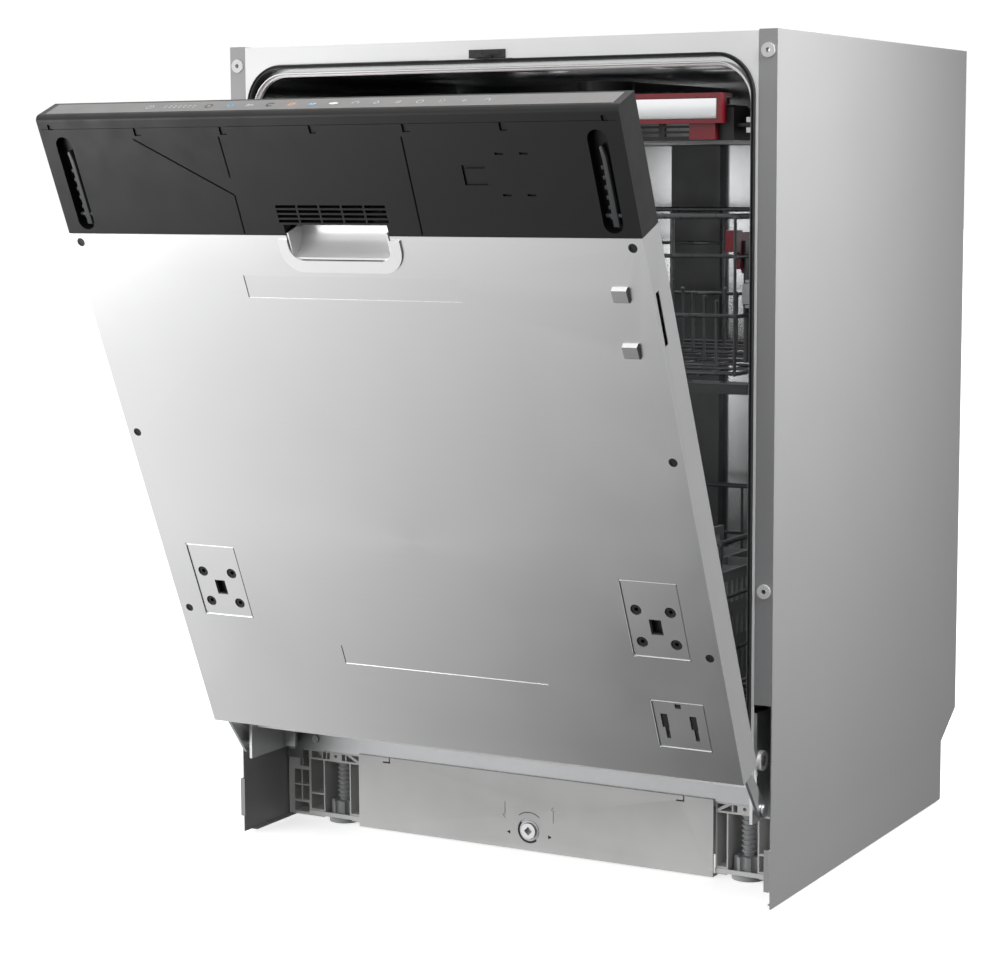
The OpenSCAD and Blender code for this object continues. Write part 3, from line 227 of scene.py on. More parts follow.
class Look:
    """A node material built up in steps; its textures use the object's own coordinates, in metres."""

    def __init__(self, name, metallic=0.0, specular=0.5, coat=0.0, coat_rough=0.1, anisotropic=0.0):
        self.mat = bpy.data.materials.new(name)
        self.mat.use_nodes = True
        self.tree = self.mat.node_tree
        self.shader = self.tree.nodes["Principled BSDF"]
        for socket, value in (("Metallic", metallic), ("Specular IOR Level", specular), ("Coat Weight", coat),
                              ("Coat Roughness", coat_rough), ("Anisotropic", anisotropic)):
            self.shader.inputs[socket].default_value = value
        self.coords = self.node("ShaderNodeTexCoord").outputs["Object"]
        self.height = None

    def node(self, kind, **values):
        made = self.tree.nodes.new(kind)
        for key, value in values.items():
            setattr(made, key, value)
        return made

    def link(self, a, b):
        self.tree.links.new(a, b)

    def noise(self, scale, detail=3.0, rough=0.55, stretch=(1, 1, 1)):
        mapping = self.node("ShaderNodeMapping")
        mapping.inputs["Scale"].default_value = stretch
        self.link(self.coords, mapping.inputs["Vector"])
        tex = self.node("ShaderNodeTexNoise")
        tex.inputs["Scale"].default_value = scale
        tex.inputs["Detail"].default_value = detail
        tex.inputs["Roughness"].default_value = rough
        self.link(mapping.outputs["Vector"], tex.inputs["Vector"])
        return tex.outputs["Fac"]

    def cells(self, scale):
        """The distance from the middle of each cell."""
        tex = self.node("ShaderNodeTexVoronoi")
        tex.inputs["Scale"].default_value = scale
        self.link(self.coords, tex.inputs["Vector"])
        return tex.outputs["Distance"]

    def span(self, value, low, high, from_low=0.3, from_high=0.7):
        """Maps a texture's value to a range."""
        m = self.node("ShaderNodeMapRange")
        for key, v in (("From Min", from_low), ("From Max", from_high), ("To Min", low), ("To Max", high)):
            m.inputs[key].default_value = v
        self.link(value, m.inputs["Value"])
        return m.outputs["Result"]

    def blend(self, fac, a, b):
        """Mixes two colours, each a colour or a socket."""
        mix = self.node("ShaderNodeMix", data_type="RGBA")
        for key, value in ((MIX_A, a), (MIX_B, b)):
            if isinstance(value, tuple):
                mix.inputs[key].default_value = (*value, 1)
            else:
                self.link(value, mix.inputs[key])
        self.link(fac, mix.inputs[MIX_FACTOR])
        return mix.outputs[MIX_RESULT]

    def paint(self, colour):
        self.link(colour, self.shader.inputs["Base Color"])
        return self

    def gloss(self, value):
        self.link(value, self.shader.inputs["Roughness"])
        return self

    def bump(self, value, depth, strength=1.0):
        """Adds relief of this depth in metres on top of what is there."""
        b = self.node("ShaderNodeBump")
        b.inputs["Distance"].default_value = depth
        b.inputs["Strength"].default_value = strength
        self.link(value, b.inputs["Height"])
        if self.height is not None:
            self.link(self.height, b.inputs["Normal"])
        self.height = b.outputs["Normal"]
        self.link(self.height, self.shader.inputs["Normal"])
        return self

    def facing_front(self):
        """A mask of the faces square to the depth of the object, the hems turned in at the front and back:
        where the steel gets its painted shade.
        """
        coords = self.node("ShaderNodeTexCoord")
        split = self.node("ShaderNodeSeparateXYZ")
        self.link(coords.outputs["Normal"], split.inputs["Vector"])
        size = self.node("ShaderNodeMath", operation="ABSOLUTE")
        self.link(split.outputs["Y"], size.inputs[0])
        return self.span(size.outputs["Value"], 0, 1, 0.6, 0.8)

    def edges(self, amount):
        """A mask of worn or dusty edges."""
        geo = self.node("ShaderNodeNewGeometry")
        return self.span(geo.outputs["Pointiness"], 0.0, amount, 0.52, 0.6)


def shade(colour, k):
    """The colour made k times as bright."""
    return tuple(min(1.0, c * k) for c in colour)


def steel(name, colour, rough, stretch, grain_scale, depth, spangle=0.0, metallic=1.0, painted_front_shade=1.0):
    """Rolled sheet: long fine grain, cloudy variation, smudged gloss, brighter worn edges, and painted shade
    that darkens its turned hems, the faces square to its depth, by painted_front_shade. The stretch is least
    along the grain, depth is the grain's in metres, spangle the scale of zinc flowers."""
    look = Look(name, metallic=metallic, anisotropic=0.2)
    grain = look.noise(grain_scale, detail=4, rough=0.7, stretch=stretch)
    cloud = look.noise(5, detail=2, rough=0.5)
    tone = look.blend(look.span(cloud, 0, 1), shade(colour, 0.985), shade(colour, 1.015))
    tone = look.blend(look.span(grain, 0, 0.06), tone, shade(colour, 0.72))
    if spangle:
        flowers = look.span(look.cells(spangle), 0, 0.25, 0, 0.8)
        tone = look.blend(flowers, tone, shade(colour, 0.7))
        look.bump(look.cells(spangle * 0.5), depth * 6)
    tone = look.blend(look.edges(0.5), tone, shade(colour, 1.15))
    # Painted shade: the faces square to the depth, such as the side sheet's front flanges, are darker by this
    # factor.
    if painted_front_shade != 1.0:
        tone = look.blend(look.facing_front(), tone, shade(colour, painted_front_shade))
    look.paint(tone)
    smudge = look.noise(14, detail=3, rough=0.6)
    look.gloss(look.span(smudge, rough * 0.94, rough * 1.06))
    look.bump(grain, depth)
    return look.mat


def plastic(name, colour, rough, grain=1400.0, depth=1.5e-5, coat=0.0, fleck=0.0, specular=0.45):
    """Moulded plastic: fine spark-eroded grain, faint flow clouds, pale flecks, scuffed edges."""
    look = Look(name, specular=specular, coat=coat, coat_rough=0.22)
    cloud = look.noise(9, detail=3, rough=0.55)
    tone = look.blend(look.span(cloud, 0, 1), shade(colour, 0.9), shade(colour, 1.1))
    if fleck:
        flecks = look.span(look.noise(2200, detail=1, rough=0.4), 0, fleck, 0.55, 0.75)
        tone = look.blend(flecks, tone, shade(colour, 1.8))
    tone = look.blend(look.edges(0.35), tone, shade(colour, 1.5))
    look.paint(tone)
    look.gloss(look.span(look.noise(40, detail=3, rough=0.6), rough * 0.85, rough * 1.15))
    look.bump(look.noise(grain, detail=2, rough=0.5), depth)
    look.bump(look.noise(28, detail=2, rough=0.5), depth * 3, 0.5)
    return look.mat


def paint(name, colour, rough):
    """Powder coat: orange peel, faint clouds."""
    look = Look(name, specular=0.5, coat=0.15, coat_rough=0.25)
    cloud = look.span(look.noise(6, detail=2, rough=0.5), 0, 1)
    tone = look.blend(cloud, shade(colour, 0.96), shade(colour, 1.03))
    look.paint(look.blend(look.edges(0.4), tone, shade(colour, 1.12)))
    look.gloss(look.span(look.noise(60, detail=3, rough=0.6), rough * 0.88, rough * 1.12))
    look.bump(look.noise(420, detail=2, rough=0.5), 2.2e-5)
    return look.mat


def meshed(name, colour, scale):
    """Perforated stainless: bright sheet with small holes painted near-black as painted shade, the dark seen
    through them.
    """
    look = Look(name, metallic=1.0)
    holes = look.cells(scale)
    # Painted shade: the holes are coloured near-black and bumped in, not cut through.
    mask = look.span(holes, 1, 0, 0.24, 0.3)
    tone = look.blend(look.span(look.noise(20), 0, 1), shade(colour, 0.9), colour)
    look.paint(look.blend(mask, tone, (0.02, 0.02, 0.02)))
    look.gloss(look.span(look.noise(30), 0.22, 0.34))
    look.bump(look.span(holes, 0, 1, 0.2, 0.34), 3e-4)
    return look.mat


def board(name):
    """Green lacquered circuit board with paler copper traces."""
    look = Look(name, specular=0.6, coat=0.4, coat_rough=0.15)
    bricks = look.node("ShaderNodeTexBrick")
    bricks.inputs["Scale"].default_value = 90
    bricks.inputs["Mortar Size"].default_value = 0.03
    look.link(look.coords, bricks.inputs["Vector"])
    lacquer = look.span(look.noise(120), 0, 1)
    tone = look.blend(lacquer, (0.01, 0.09, 0.04), (0.015, 0.14, 0.06))
    look.paint(look.blend(bricks.outputs["Fac"], tone, (0.05, 0.25, 0.12)))
    look.gloss(look.span(look.noise(50), 0.3, 0.45))
    look.bump(bricks.outputs["Fac"], 5e-5)
    return look.mat


def ink(name, colour, specular=0.4):
    """Printed symbol, and flat painted shade for recesses and grooves: matt ink with slightly uneven cover."""
    look = Look(name, specular=specular)
    look.paint(look.blend(look.span(look.noise(900), 0, 1), shade(colour, 0.8), shade(colour, 1.05)))
    look.gloss(look.span(look.noise(300), 0.4, 0.55))
    return look.mat


# Steel is given by colour, roughness, stretch, scale and depth of its grain; plastic by colour, roughness,
# and scale and depth of its grain.
M = {
    # The side sheet's turned-in flanges get painted shade, 0.72 of its colour.
    "panel_steel": steel("side_sheet", (0.42, 0.42, 0.425), 0.5, (60, 60, 1.5), 12, 2e-6, metallic=0.42,
                         painted_front_shade=0.72),
    "back_steel": steel("back_sheet", (0.52, 0.53, 0.54), 0.4, (1.5, 60, 60), 14, 3e-6, spangle=60,
                        metallic=0.85),
    "door_steel": steel("door_sheet", (0.76, 0.76, 0.765), 0.30, (1.2, 50, 50), 16, 2e-6),
    "cup_steel": steel("cup_sheet", (0.97, 0.97, 0.97), 0.3, (1.2, 50, 50), 16, 2e-6, metallic=0.3),
    "tub_steel": steel("tub_sheet", (0.58, 0.585, 0.59), 0.22, (60, 1.5, 60), 14, 3e-6),
    "liner_steel": steel("liner_sheet", (0.70, 0.705, 0.71), 0.24, (1.5, 60, 60), 14, 3e-6),
    "galvanised": steel("galvanised_sheet", (0.66, 0.665, 0.67), 0.38, (1.2, 40, 40), 14, 3e-6, spangle=110),
    "crossbar_steel": steel("crossbar_sheet", (0.43, 0.435, 0.44), 0.42, (1.2, 40, 40), 14, 3e-6,
                            spangle=110),
    "runner_steel": steel("runner_sheet", (0.56, 0.57, 0.58), 0.3, (40, 1.2, 40), 16, 3e-6),
    "spring_steel": steel("spring_wire", (0.42, 0.43, 0.45), 0.32, (30, 2, 30), 20, 5e-6),
    "frame_paint": paint("frame_coat", (0.80, 0.80, 0.80), 0.36),
    "pale_plastic": plastic("pale_shell", (0.56, 0.56, 0.555), 0.45, 1100, 2e-5),
    "head_plastic": plastic("head_shell", (0.008, 0.008, 0.0083), 0.42, 900, 1.6e-5, coat=0.05,
                            fleck=0.12, specular=0.3),
    "strip_plastic": plastic("strip_shell", (0.115, 0.112, 0.110), 0.36, 1600, 6e-6, coat=0.25,
                             fleck=0.3),
    "black_plastic": plastic("black_shell", (0.016, 0.016, 0.017), 0.42),
    "grey_plastic": plastic("grey_shell", (0.30, 0.305, 0.31), 0.42, 1100, 2e-5),
    "dark_grey_plastic": plastic("dark_grey_shell", (0.085, 0.087, 0.09), 0.4, 1100, 2e-5),
    "white_plastic": plastic("white_shell", (0.74, 0.74, 0.72), 0.38, 1100, 1.5e-5),
    "red_plastic": plastic("red_shell", (0.17, 0.008, 0.016), 0.3, 1500, 6e-6, coat=0.3),
    "rubber": plastic("seal_rubber", (0.022, 0.022, 0.023), 0.62, 700, 3e-5),
    "rack_wire": plastic("wire_nylon", (0.060, 0.062, 0.066), 0.3, 500, 2e-5, coat=0.35),
    "filter_mesh": meshed("filter_sheet", (0.66, 0.665, 0.67), 420),
    "board": board("circuit_lacquer"),
    "trim": steel("satin_trim", (0.84, 0.845, 0.85), 0.3, (1.2, 60, 60), 22, 2e-6),
    "ink_pale": ink("ink_pale", (0.50, 0.50, 0.50)),
    "ink_white": ink("ink_white", (0.86, 0.86, 0.86)),
    "ink_blue": ink("ink_blue", (0.10, 0.34, 0.55)),
    "ink_amber": ink("ink_amber", (0.70, 0.30, 0.12)),
    # Black print on the strip and dispenser, and painted shade in the screw recesses and round the plinth
    # adjuster.
    "black_ink_and_painted_shade": ink("black_ink_and_painted_shade", (0.01, 0.01, 0.01)),
    # Painted shadow for the bottom of the head's grooves: near-black with almost no shine.
    "groove_painted_shadow": ink("groove_painted_shadow", (0.002, 0.002, 0.002), 0.05),
}

# Nodes whose look differs from the one their material slot names.
SPECIAL = {
    "back_panel": "back_steel", "handle_cup": "cup_steel", "door_liner": "liner_steel",
    "filter_plate": "filter_mesh", "filter_cylinder": "filter_mesh", "slide_rails": "runner_steel",
    "upper_runners": "runner_steel", "kick_plate": "pale_plastic", "foot_housings": "pale_plastic",
    "cutlery_tray": "black_plastic", "front_crossbar": "crossbar_steel", "cabinet_fasteners": "pale_plastic",
    "front_foot_left": "grey_plastic", "front_foot_right": "grey_plastic",
}
for part in frame["record"]["subparts"]:
    node, slot = part["node"], part["material_slot"]
    data = NODES[node].data
    data.materials.clear()
    data.materials.append(M[SPECIAL.get(node, slot)])

def smooth_shading():
    """Modifier nodes that shade smooth without the facet normals, and leave the node's own mesh as it is."""
    group = bpy.data.node_groups.new("smooth_shading", "GeometryNodeTree")
    group.interface.new_socket("Geometry", in_out="INPUT", socket_type="NodeSocketGeometry")
    group.interface.new_socket("Geometry", in_out="OUTPUT", socket_type="NodeSocketGeometry")
    start, end = group.nodes.new("NodeGroupInput"), group.nodes.new("NodeGroupOutput")
    normals = group.nodes.new("GeometryNodeSetMeshNormal")
    normals.mode = "SHARPNESS"
    for socket, value in (("Remove Custom", True), ("Edge Sharpness", False), ("Face Sharpness", False)):
        normals.inputs[socket].default_value = value
    group.links.new(start.outputs[0], normals.inputs["Mesh"])
    group.links.new(normals.outputs["Mesh"], end.inputs[0])
    return group


# The wires are drawn with flats. Shaded smooth, joined up and cut at their real corners, they look round.
WELD_GAP, CORNER_ANGLE = 2e-6, 63
smooth = smooth_shading()
for name in ("upper_basket", "lower_basket", "folding_tines"):
    obj = NODES[name]
    obj.modifiers.new("smooth", "NODES").node_group = smooth
    weld = obj.modifiers.new("weld", "WELD")
    weld.merge_threshold = WELD_GAP
    split = obj.modifiers.new("split", "EDGE_SPLIT")
    split.split_angle = math.radians(CORNER_ANGLE)
    split.use_edge_sharp = False


# ---- Door ----

def touch_icons():
    """A row of plain printed marks on the touch strip: rings, arcs, dots and bars, with no lettering."""
    s = Shape()
    top = (DOOR_TOP + 0.2, DOOR_TOP + 0.26)
    depth = -18.5
    pale, white, blue, amber, black = range(5)

    def dot(x, y, r, mat):
        s.lathe([(0, top[0]), (r, top[0]), (r, top[1]), (0, top[1])], (x, depth + y, 0), steps=14, mat=mat)

    def bar(x, y, w, d, mat):
        s.block((x - w / 2, x + w / 2), (depth + y - d / 2, depth + y + d / 2), top, 0, mat)

    def arc(x, y, r, a0, a1, mat, w=0.8):
        """A line w wide from angle a0 to a1, in degrees, in pieces of about 18 degrees."""
        n = max(4, int(abs(a1 - a0) / 18))
        full = abs(a1 - a0) >= 359
        inner, outer = [], []
        for a in (math.radians(a0 + (a1 - a0) * i / n) for i in range(n + (0 if full else 1))):
            for ring, rr in ((inner, r - w / 2), (outer, r + w / 2)):
                ring.append([s.bm.verts.new((x + rr * math.cos(a), depth + y + rr * math.sin(a), h))
                             for h in top])
        last = len(inner) if full else len(inner) - 1
        for i in range(last):
            j = (i + 1) % len(inner)
            for quad in ((inner[i][1], inner[j][1], outer[j][1], outer[i][1]),
                         (inner[i][0], outer[i][0], outer[j][0], inner[j][0]),
                         (inner[i][0], inner[j][0], inner[j][1], inner[i][1]),
                         (outer[i][0], outer[i][1], outer[j][1], outer[j][0])):
                s.bm.faces.new(quad).material_index = mat
        if not full:
            for i in (0, -1):
                s.bm.faces.new((inner[i][0], inner[i][1], outer[i][1], outer[i][0])).material_index = mat

    def dotted_ring(x, across, along, n, step, mat):
        for k in range(n):
            dot(x + across * math.cos(step * k), along * math.sin(step * k), 0.6, mat)

    # Nine marks from the left to just past the middle, each at its own x.
    switch, bar_of_dots, target, swirl, steps, gap_ring, flower, bowl, drops = (
        -177, -160, -113, -91, -72, -48, -26, -4, 17)
    arc(switch, 0, 3.6, 0, 360, pale)
    bar(switch, 1, 0.7, 3.6, pale)
    for i in range(7):
        for j in (-1.6, 1.6):
            dot(bar_of_dots + 5.2 * i, j, 0.9 if (i + j) % 3 else 0.6, pale)
    arc(target, 0, 3.4, 0, 360, black, 1.0)
    dot(target, 0, 0.9, amber)
    arc(swirl, 0, 3.4, -40, 200, blue, 1.6)
    dot(swirl, -1.6, 1.0, pale)
    for i in range(3):
        bar(steps + 2.6 * i, 0, 1.2, 5.4 - 1.2 * i, pale)
    arc(gap_ring, 0, 3.4, 40, 320, black, 1.8)
    arc(flower, 0, 2.4, 0, 360, amber, 1.4)
    dotted_ring(flower, 4.6, 4, 6, math.pi / 3, amber)
    arc(bowl, 0.8, 3.6, 180, 350, blue, 1.8)
    arc(bowl, 2.2, 3.0, 200, 330, white, 0.7)
    for dx, r in ((-2.8, 1.6), (0, 2.4), (2.8, 1.6)):
        dot(drops + dx, 0, r, white)

    # Then seven small marks in even steps.
    first, pitch, fifth_turn = 39, 21.3, 1.257
    arc_ends = {"arc": 210, "hook": 150, "ring": 330}
    for i, kind in enumerate(("arc", "drop", "bars", "ring", "dots", "cross", "hook")):
        x = first + pitch * i
        if kind in arc_ends:
            arc(x, 0, 3.0, -30, arc_ends[kind], pale, 0.7)
        elif kind == "drop":
            arc(x, -0.6, 2.2, 0, 360, pale, 0.7)
            bar(x, 2.6, 0.7, 2.0, pale)
        elif kind == "bars":
            for k in (-2, 0, 2):
                bar(x, k, 5.4, 0.6, pale)
        elif kind == "dots":
            dotted_ring(x, 2.6, 2.6, 5, fifth_turn, pale)
        else:
            bar(x, 0, 5, 0.7, pale)
            bar(x, 0, 0.7, 5, pale)
    s.piece("touch_icons", "door", "strip_plastic",
            [M["ink_pale"], M["ink_white"], M["ink_blue"], M["ink_amber"], M["black_ink_and_painted_shade"]], DOOR)


def slot_sliders():
    """Sliding studs that show inside the head's two long slots."""
    s = Shape()
    slot_x, back = 271, FRONT_Y + 7.9
    outline = ((-2.2, 8), (3.4, 8), (3.0, 70), (0.6, 80), (-2.0, 78), (-0.6, 66))
    for side in SIDES:
        x = side * slot_x
        s.plate([(x + dx, STEEL_TOP + dz) for dx, dz in outline], (FRONT_Y + 3.4, back), 0.7)
        for z in spread(STEEL_TOP + 14, STEEL_TOP + 58, 6):
            s.block((x - 4.6, x - 1.8), (FRONT_Y + 5.2, back), (z, z + 3.6), 0.5)
        s.block((x - 8.4, x + 8.4), (FRONT_Y + 4.6, back), (STEEL_TOP + 16, STEEL_TOP + 19), 0.6)
    s.piece("slot_sliders", "door", "black_plastic", [M["dark_grey_plastic"]], DOOR)


def liner_beads():
    """Pressed beads on the inner door: an outline, four long ribs and the ring round the dispenser."""
    s = Shape()
    y = LINER_FACE + 0.15
    outline = rounded(LINER_HALF - 22, (LINER_Z[0] + 20, LINER_Z[1] - 18), 28)
    s.sweep([(x, y, z) for x, z in outline], 1.5, 8, True)
    dispenser_x, dispenser = 20, rounded(110, (DOOR_Z + 206, DOOR_Z + 364), 12)
    s.sweep([(x + dispenser_x, y, z) for x, z in dispenser], 1.2, 8, True)
    for z in (DOOR_Z + 110, DOOR_Z + 150, DOOR_Z + 430, DOOR_Z + 470):
        s.sweep([(x, y, z) for x in spread(-170, 170, 12)], 1.5, 8)
    s.piece("liner_beads", "door", "tub_steel", [M["liner_steel"]], DOOR)


def dispenser_marks():
    """Plain rim, sight glass and dots on the dispenser."""
    s = Shape()
    y = LINER_FACE + 2
    cap_x, cap_z, dots_r = 78, 452, 26
    s.lathe([(19.2, y - 0.3), (22.4, y - 0.3), (22.0, y + 0.9), (19.8, y + 0.9), (19.2, y - 0.3)],
            (cap_x, 0, cap_z), "Y", 40)
    s.lathe([(0, y - 0.4), (5.2, y - 0.4), (5.2, y + 0.4), (3.4, y + 1.1), (0, y + 1.3)],
            (cap_x + 25, 0, cap_z + 26), "Y", 24, 1)
    for k in range(5):
        a = math.radians(200 + 35 * k)
        s.lathe([(0, y - 0.2), (1.1, y - 0.2), (1.0, y + 0.35), (0, y + 0.45)],
                (cap_x + dots_r * math.cos(a), 0, cap_z + dots_r * math.sin(a)), "Y", 12, 2)
    s.piece("dispenser_marks", "door", "white_plastic",
            [M["white_plastic"], M["ink_blue"], M["black_ink_and_painted_shade"]], DOOR)


def lid_ribs():
    """Grip ribs pressed across the detergent lid."""
    s = Shape()
    lid_x, first_z, pitch = -28, 398, 9
    for i in range(5):
        z = first_z + pitch * i
        s.block((lid_x - 26, lid_x + 26), (LINER_FACE + 1.2, LINER_FACE + 2.3), (z, z + 2.4), 0.5)
    s.piece("lid_ribs", "detergent_lid", "grey_plastic", [M["grey_plastic"]], DOOR)


def plug_rims():
    """Thin dark washers under the plugs along both edges of the door."""
    s = Shape()
    plug_x, under, over = 284.5, FRONT_Y - 0.25, FRONT_Y + 0.1
    for z in (287, 486, 686):
        for side in SIDES:
            s.lathe([(2.6, under), (4.0, under), (4.3, over), (2.6, over), (2.6, under)],
                    (side * plug_x, 0, z), "Y", 24)
    s.piece("plug_rims", "door", "black_plastic", [M["black_plastic"]], DOOR)


def plate_beads():
    """The pressed step along the left and the bottom of each of the three bracket plates."""
    s = Shape()
    inset, corner_steps = 1.0, 6
    for x, z in (((-266, -208), (281.5, 363.5)), ((208, 266), (281.5, 363.5)), ((216, 270), (183, 236))):
        middle, half = (x[0] + x[1]) / 2, (x[1] - x[0]) / 2
        loop = rounded(half - inset, (z[0] + inset, z[1] - inset), 4, corner_steps)
        corner = loop[-corner_steps - 1:]
        path = [(-half + inset, z[1] - 2.0)] + corner + [(half - inset, z[0] + inset)]
        s.sweep([(middle + px, FRONT_Y - 0.1, pz) for px, pz in path], 0.75, 8)
    s.piece("plate_beads", "door", "door_steel", [M["runner_steel"]], DOOR)


def head_groove_painted_shadows():
    """Painted shadow: black lines in the bottom of the head's moulded grooves, each from one end to the other."""
    s = Shape()
    r = 0.72
    for a, b in (((-191, 92), (-97, 38)), ((-97, 38), (-97, 1)), ((-98, 93), (-97, 55)), ((88, 91), (87, 1))):
        s.sweep([(a[0] + (b[0] - a[0]) * t, FRONT_Y + r, STEEL_TOP + a[1] + (b[1] - a[1]) * t)
                 for t in spread(0.01, 0.99, 6)], r, 8)
    s.piece("head_groove_painted_shadows", "door", "black_plastic", [M["groove_painted_shadow"]], DOOR)


# ---- Cabinet ----

def mouth_bead():
    """The bright stepped lip where the tub turns outwards behind the seal."""
    s = Shape()
    s.loft([(4.0, 9.3), (4.0, 2.6), (3.5, 2.0), (2.6, 2.0), (2.2, 2.6), (2.2, 5.2), (1.7, 5.8), (0.7, 5.8),
            (0.2, 6.4), (0.2, 9.3)], MOUTH_HALF, MOUTH_Z, MOUTH_R)
    s.piece("mouth_lip", "cabinet", "tub_steel", [M["cup_steel"]])


def tub_pressings():
    """Round and long pressings in the tub's ceiling, walls and back that stiffen the sheet."""
    s = Shape()
    dimple = [(0, -1.9), (18, -1.8), (30, -1.2), (36, -0.4), (38, 0.0)]
    for x, y in ((-170, 90), (-170, 190), (0, 90), (170, 90), (170, 190)):
        s.lathe(dimple, (x, y, TUB_TOP), steps=48)
    for z in (250, 300, 380, 430):
        for side in SIDES:
            s.sweep([(side * (TUB_HALF + 0.4), y, z) for y in spread(70, 440, 12)], 1.4, 8)
    for x in (-200, -120, 120, 200):
        s.sweep([(x, TUB_BACK + 0.4, z) for z in spread(190, 740, 12)], 1.6, 8)
    s.piece("tub_pressings", "cabinet", "tub_steel", [M["tub_steel"]])


def cord_rollers():
    """White grooved rollers for the pull cords."""
    s = Shape()
    for side in SIDES:
        a, b = sorted((side * 284.3, side * 287.9))
        s.lathe([(5.2, a), (9.5, a), (9.6, a + 0.8), (8.9, (a + b) / 2), (9.6, b - 0.8), (9.5, b), (5.2, b),
                 (5.2, a)], (0, 8, 142), "X", 36)
    s.piece("cord_rollers", "cabinet", "white_plastic", [M["white_plastic"]])


def back_screws():
    """Pan heads round the back sheet; their cross recesses are flat black crosses of painted shade on the heads.
    """
    s = Shape()
    y = CAB_D - 1.2
    head = [(0, y + 1.15), (2.2, y + 1.1), (3.6, y + 0.5), (4.0, y - 0.3), (0, y - 0.3)]
    uprights = [(x, z) for x in (-278, 278) for z in (130, 290, 460, 630, 790)]
    top = [(x, 800) for x in (-150, 0, 150)]
    for x, z in uprights + top:
        s.lathe(head, (x, 0, z), "Y", 20)
        # Painted shade: each cross recess is a thin black cross laid on the head.
        for turn in (0, math.pi / 2):
            s.block((x - 2.2, x + 2.2), (y + 0.95, y + 1.18), (z - 0.4, z + 0.4), 0, 1,
                    Matrix.Rotation(turn, 4, "Y"))
    s.piece("back_screws", "cabinet", "galvanised", [M["galvanised"], M["black_ink_and_painted_shade"]])


def plinth_painted_shadows():
    """Painted shadow round the adjuster in the plinth plate, in black: a crescent for the shaded side of its
    raised ring, and a thin arc and arrow heads for the shade in its thin lines.
    """
    s = Shape()
    centre_z, y = 22.0, 77.55
    # The black crescent stands for the shade along the lower side of the raised ring round the socket.
    crescent, thin = (y + 0.5, y + 0.72), (y - 0.03, y + 0.2)
    for start, stop, inner, outer, depth in ((140, 310, 10.9, 13.1, crescent), (52, 128, 18.6, 19.4, thin)):
        angles = [math.radians(a) for a in spread(start, stop, 24)]
        ring = [(outer * math.cos(a), centre_z + outer * math.sin(a)) for a in angles]
        ring += [(inner * math.cos(a), centre_z + inner * math.sin(a)) for a in reversed(angles)]
        s.plate(ring, depth)
    for side in SIDES:
        s.plate([(side * 22, 16), (side * 26, 18), (side * 22, 20)], thin)
    s.piece("plinth_painted_shadows", "cabinet", "black_plastic", [M["black_ink_and_painted_shade"]])


def rear_fittings():
    """Thread on the inlet, barbs on the drain spigot, hex on the gland."""
    s = Shape()
    inlet, drain, gland = (-226, 0, 54), (-150, 0, 48), (229, 0, 56)
    for i in range(8):
        y = 476 + 2.1 * i
        s.lathe([(13.0, y), (13.55, y + 0.5), (13.55, y + 0.9), (13.0, y + 1.4), (13.0, y)], inlet, "Y", 32)
    for i in range(4):
        y = 480 + 5 * i
        s.lathe([(9.3, y), (10.3, y + 0.6), (9.3, y + 3.4), (9.3, y)], drain, "Y", 32, 1)
    s.lathe([(9.8, 478), (12.4, 478), (12.4, 486), (9.8, 486), (9.8, 478)], gland, "Y", 6, 1)
    s.piece("rear_fittings", "cabinet", "white_plastic", [M["white_plastic"], M["dark_grey_plastic"]], sharp=30)


def sump_ribs():
    """Ribs round the outside of the sump."""
    s = Shape()
    sump_r, half = 96, 1.6
    for a in turns(18):
        x, y = sump_r * math.cos(a), ARM_Y + sump_r * math.sin(a)
        s.block((x - half, x + half), (y - half, y + half), (74, 118), 0.5)
    s.piece("sump_ribs", "cabinet", "dark_grey_plastic", [M["dark_grey_plastic"]])


# ---- Baskets, tray and spray arms ----

def tray_trim():
    """The satin strip let into the front of the tray's grip, and the comb of the tray's front rows."""
    s = Shape()
    s.block((-241.8, 241.8), (TRAY_Y - 11.9, TRAY_Y - 10.9), (735.8, 754.0), 0.45)
    s.piece("tray_trim", "cutlery_tray", "tub_steel", [M["trim"]])
    s = Shape()
    comb_z = 747
    for x in spread(-236, 236, 60):
        s.sweep([(x, y, comb_z - 0.4 + 1.6 * math.sin(y / 30)) for y in spread(TRAY_Y + 6, TRAY_Y + 60, 5)],
                0.9, 6)
    for y in (TRAY_Y + 18, TRAY_Y + 44):
        s.sweep([(x, y, comb_z) for x in spread(-248, 248, 12)], 1.2, 6)
    s.piece("tray_comb", "cutlery_tray", "dark_grey_plastic", [M["black_plastic"]])


def wire_tips():
    """Thick dipped ends on the tines of each basket."""
    def tip(s, x, y, z):
        s.lathe([(0, -4.2), (1.9, -4.0), (2.15, -1.5), (1.9, 0.6), (1.0, 1.5), (0, 1.8)], (x, y, z), steps=12)

    upper, lower, folding = Shape(), Shape(), Shape()
    for y in (84, 164, 244, 324):
        for x in spread(-197, 197, 9):
            tip(upper, x, UPPER_Y + y, UPPER_Z + 62)
    for y in (60, 112, 164, 216):
        for x in spread(-203, 93, 8):
            tip(lower, x, LOWER_Y + y, LOWER_Z + 82)
    for x in spread(-200, 84, 10):
        tip(folding, x, LOWER_Y + 300, LOWER_Z + 92)
    for s, name in ((upper, "upper_basket"), (lower, "lower_basket"), (folding, "folding_tines")):
        s.piece(name + "_tips", name, "rack_wire", [M["rack_wire"]])


def rim_wires():
    """Heavier round rim wires with bent corners on both baskets."""
    for name, half, front, depth, z in (("upper_basket", RACK_HALF, UPPER_Y, UPPER_D, UPPER_RIM),
                                        ("lower_basket", LOWER_HALF, LOWER_Y, LOWER_D, LOWER_RIM)):
        s = Shape()
        s.sweep([(x, y, z + 1.0) for x, y in rounded(half, (front, front + depth), 8, 6)], 2.6, 10, True)
        s.piece(name + "_rim", name, "rack_wire", [M["rack_wire"]])


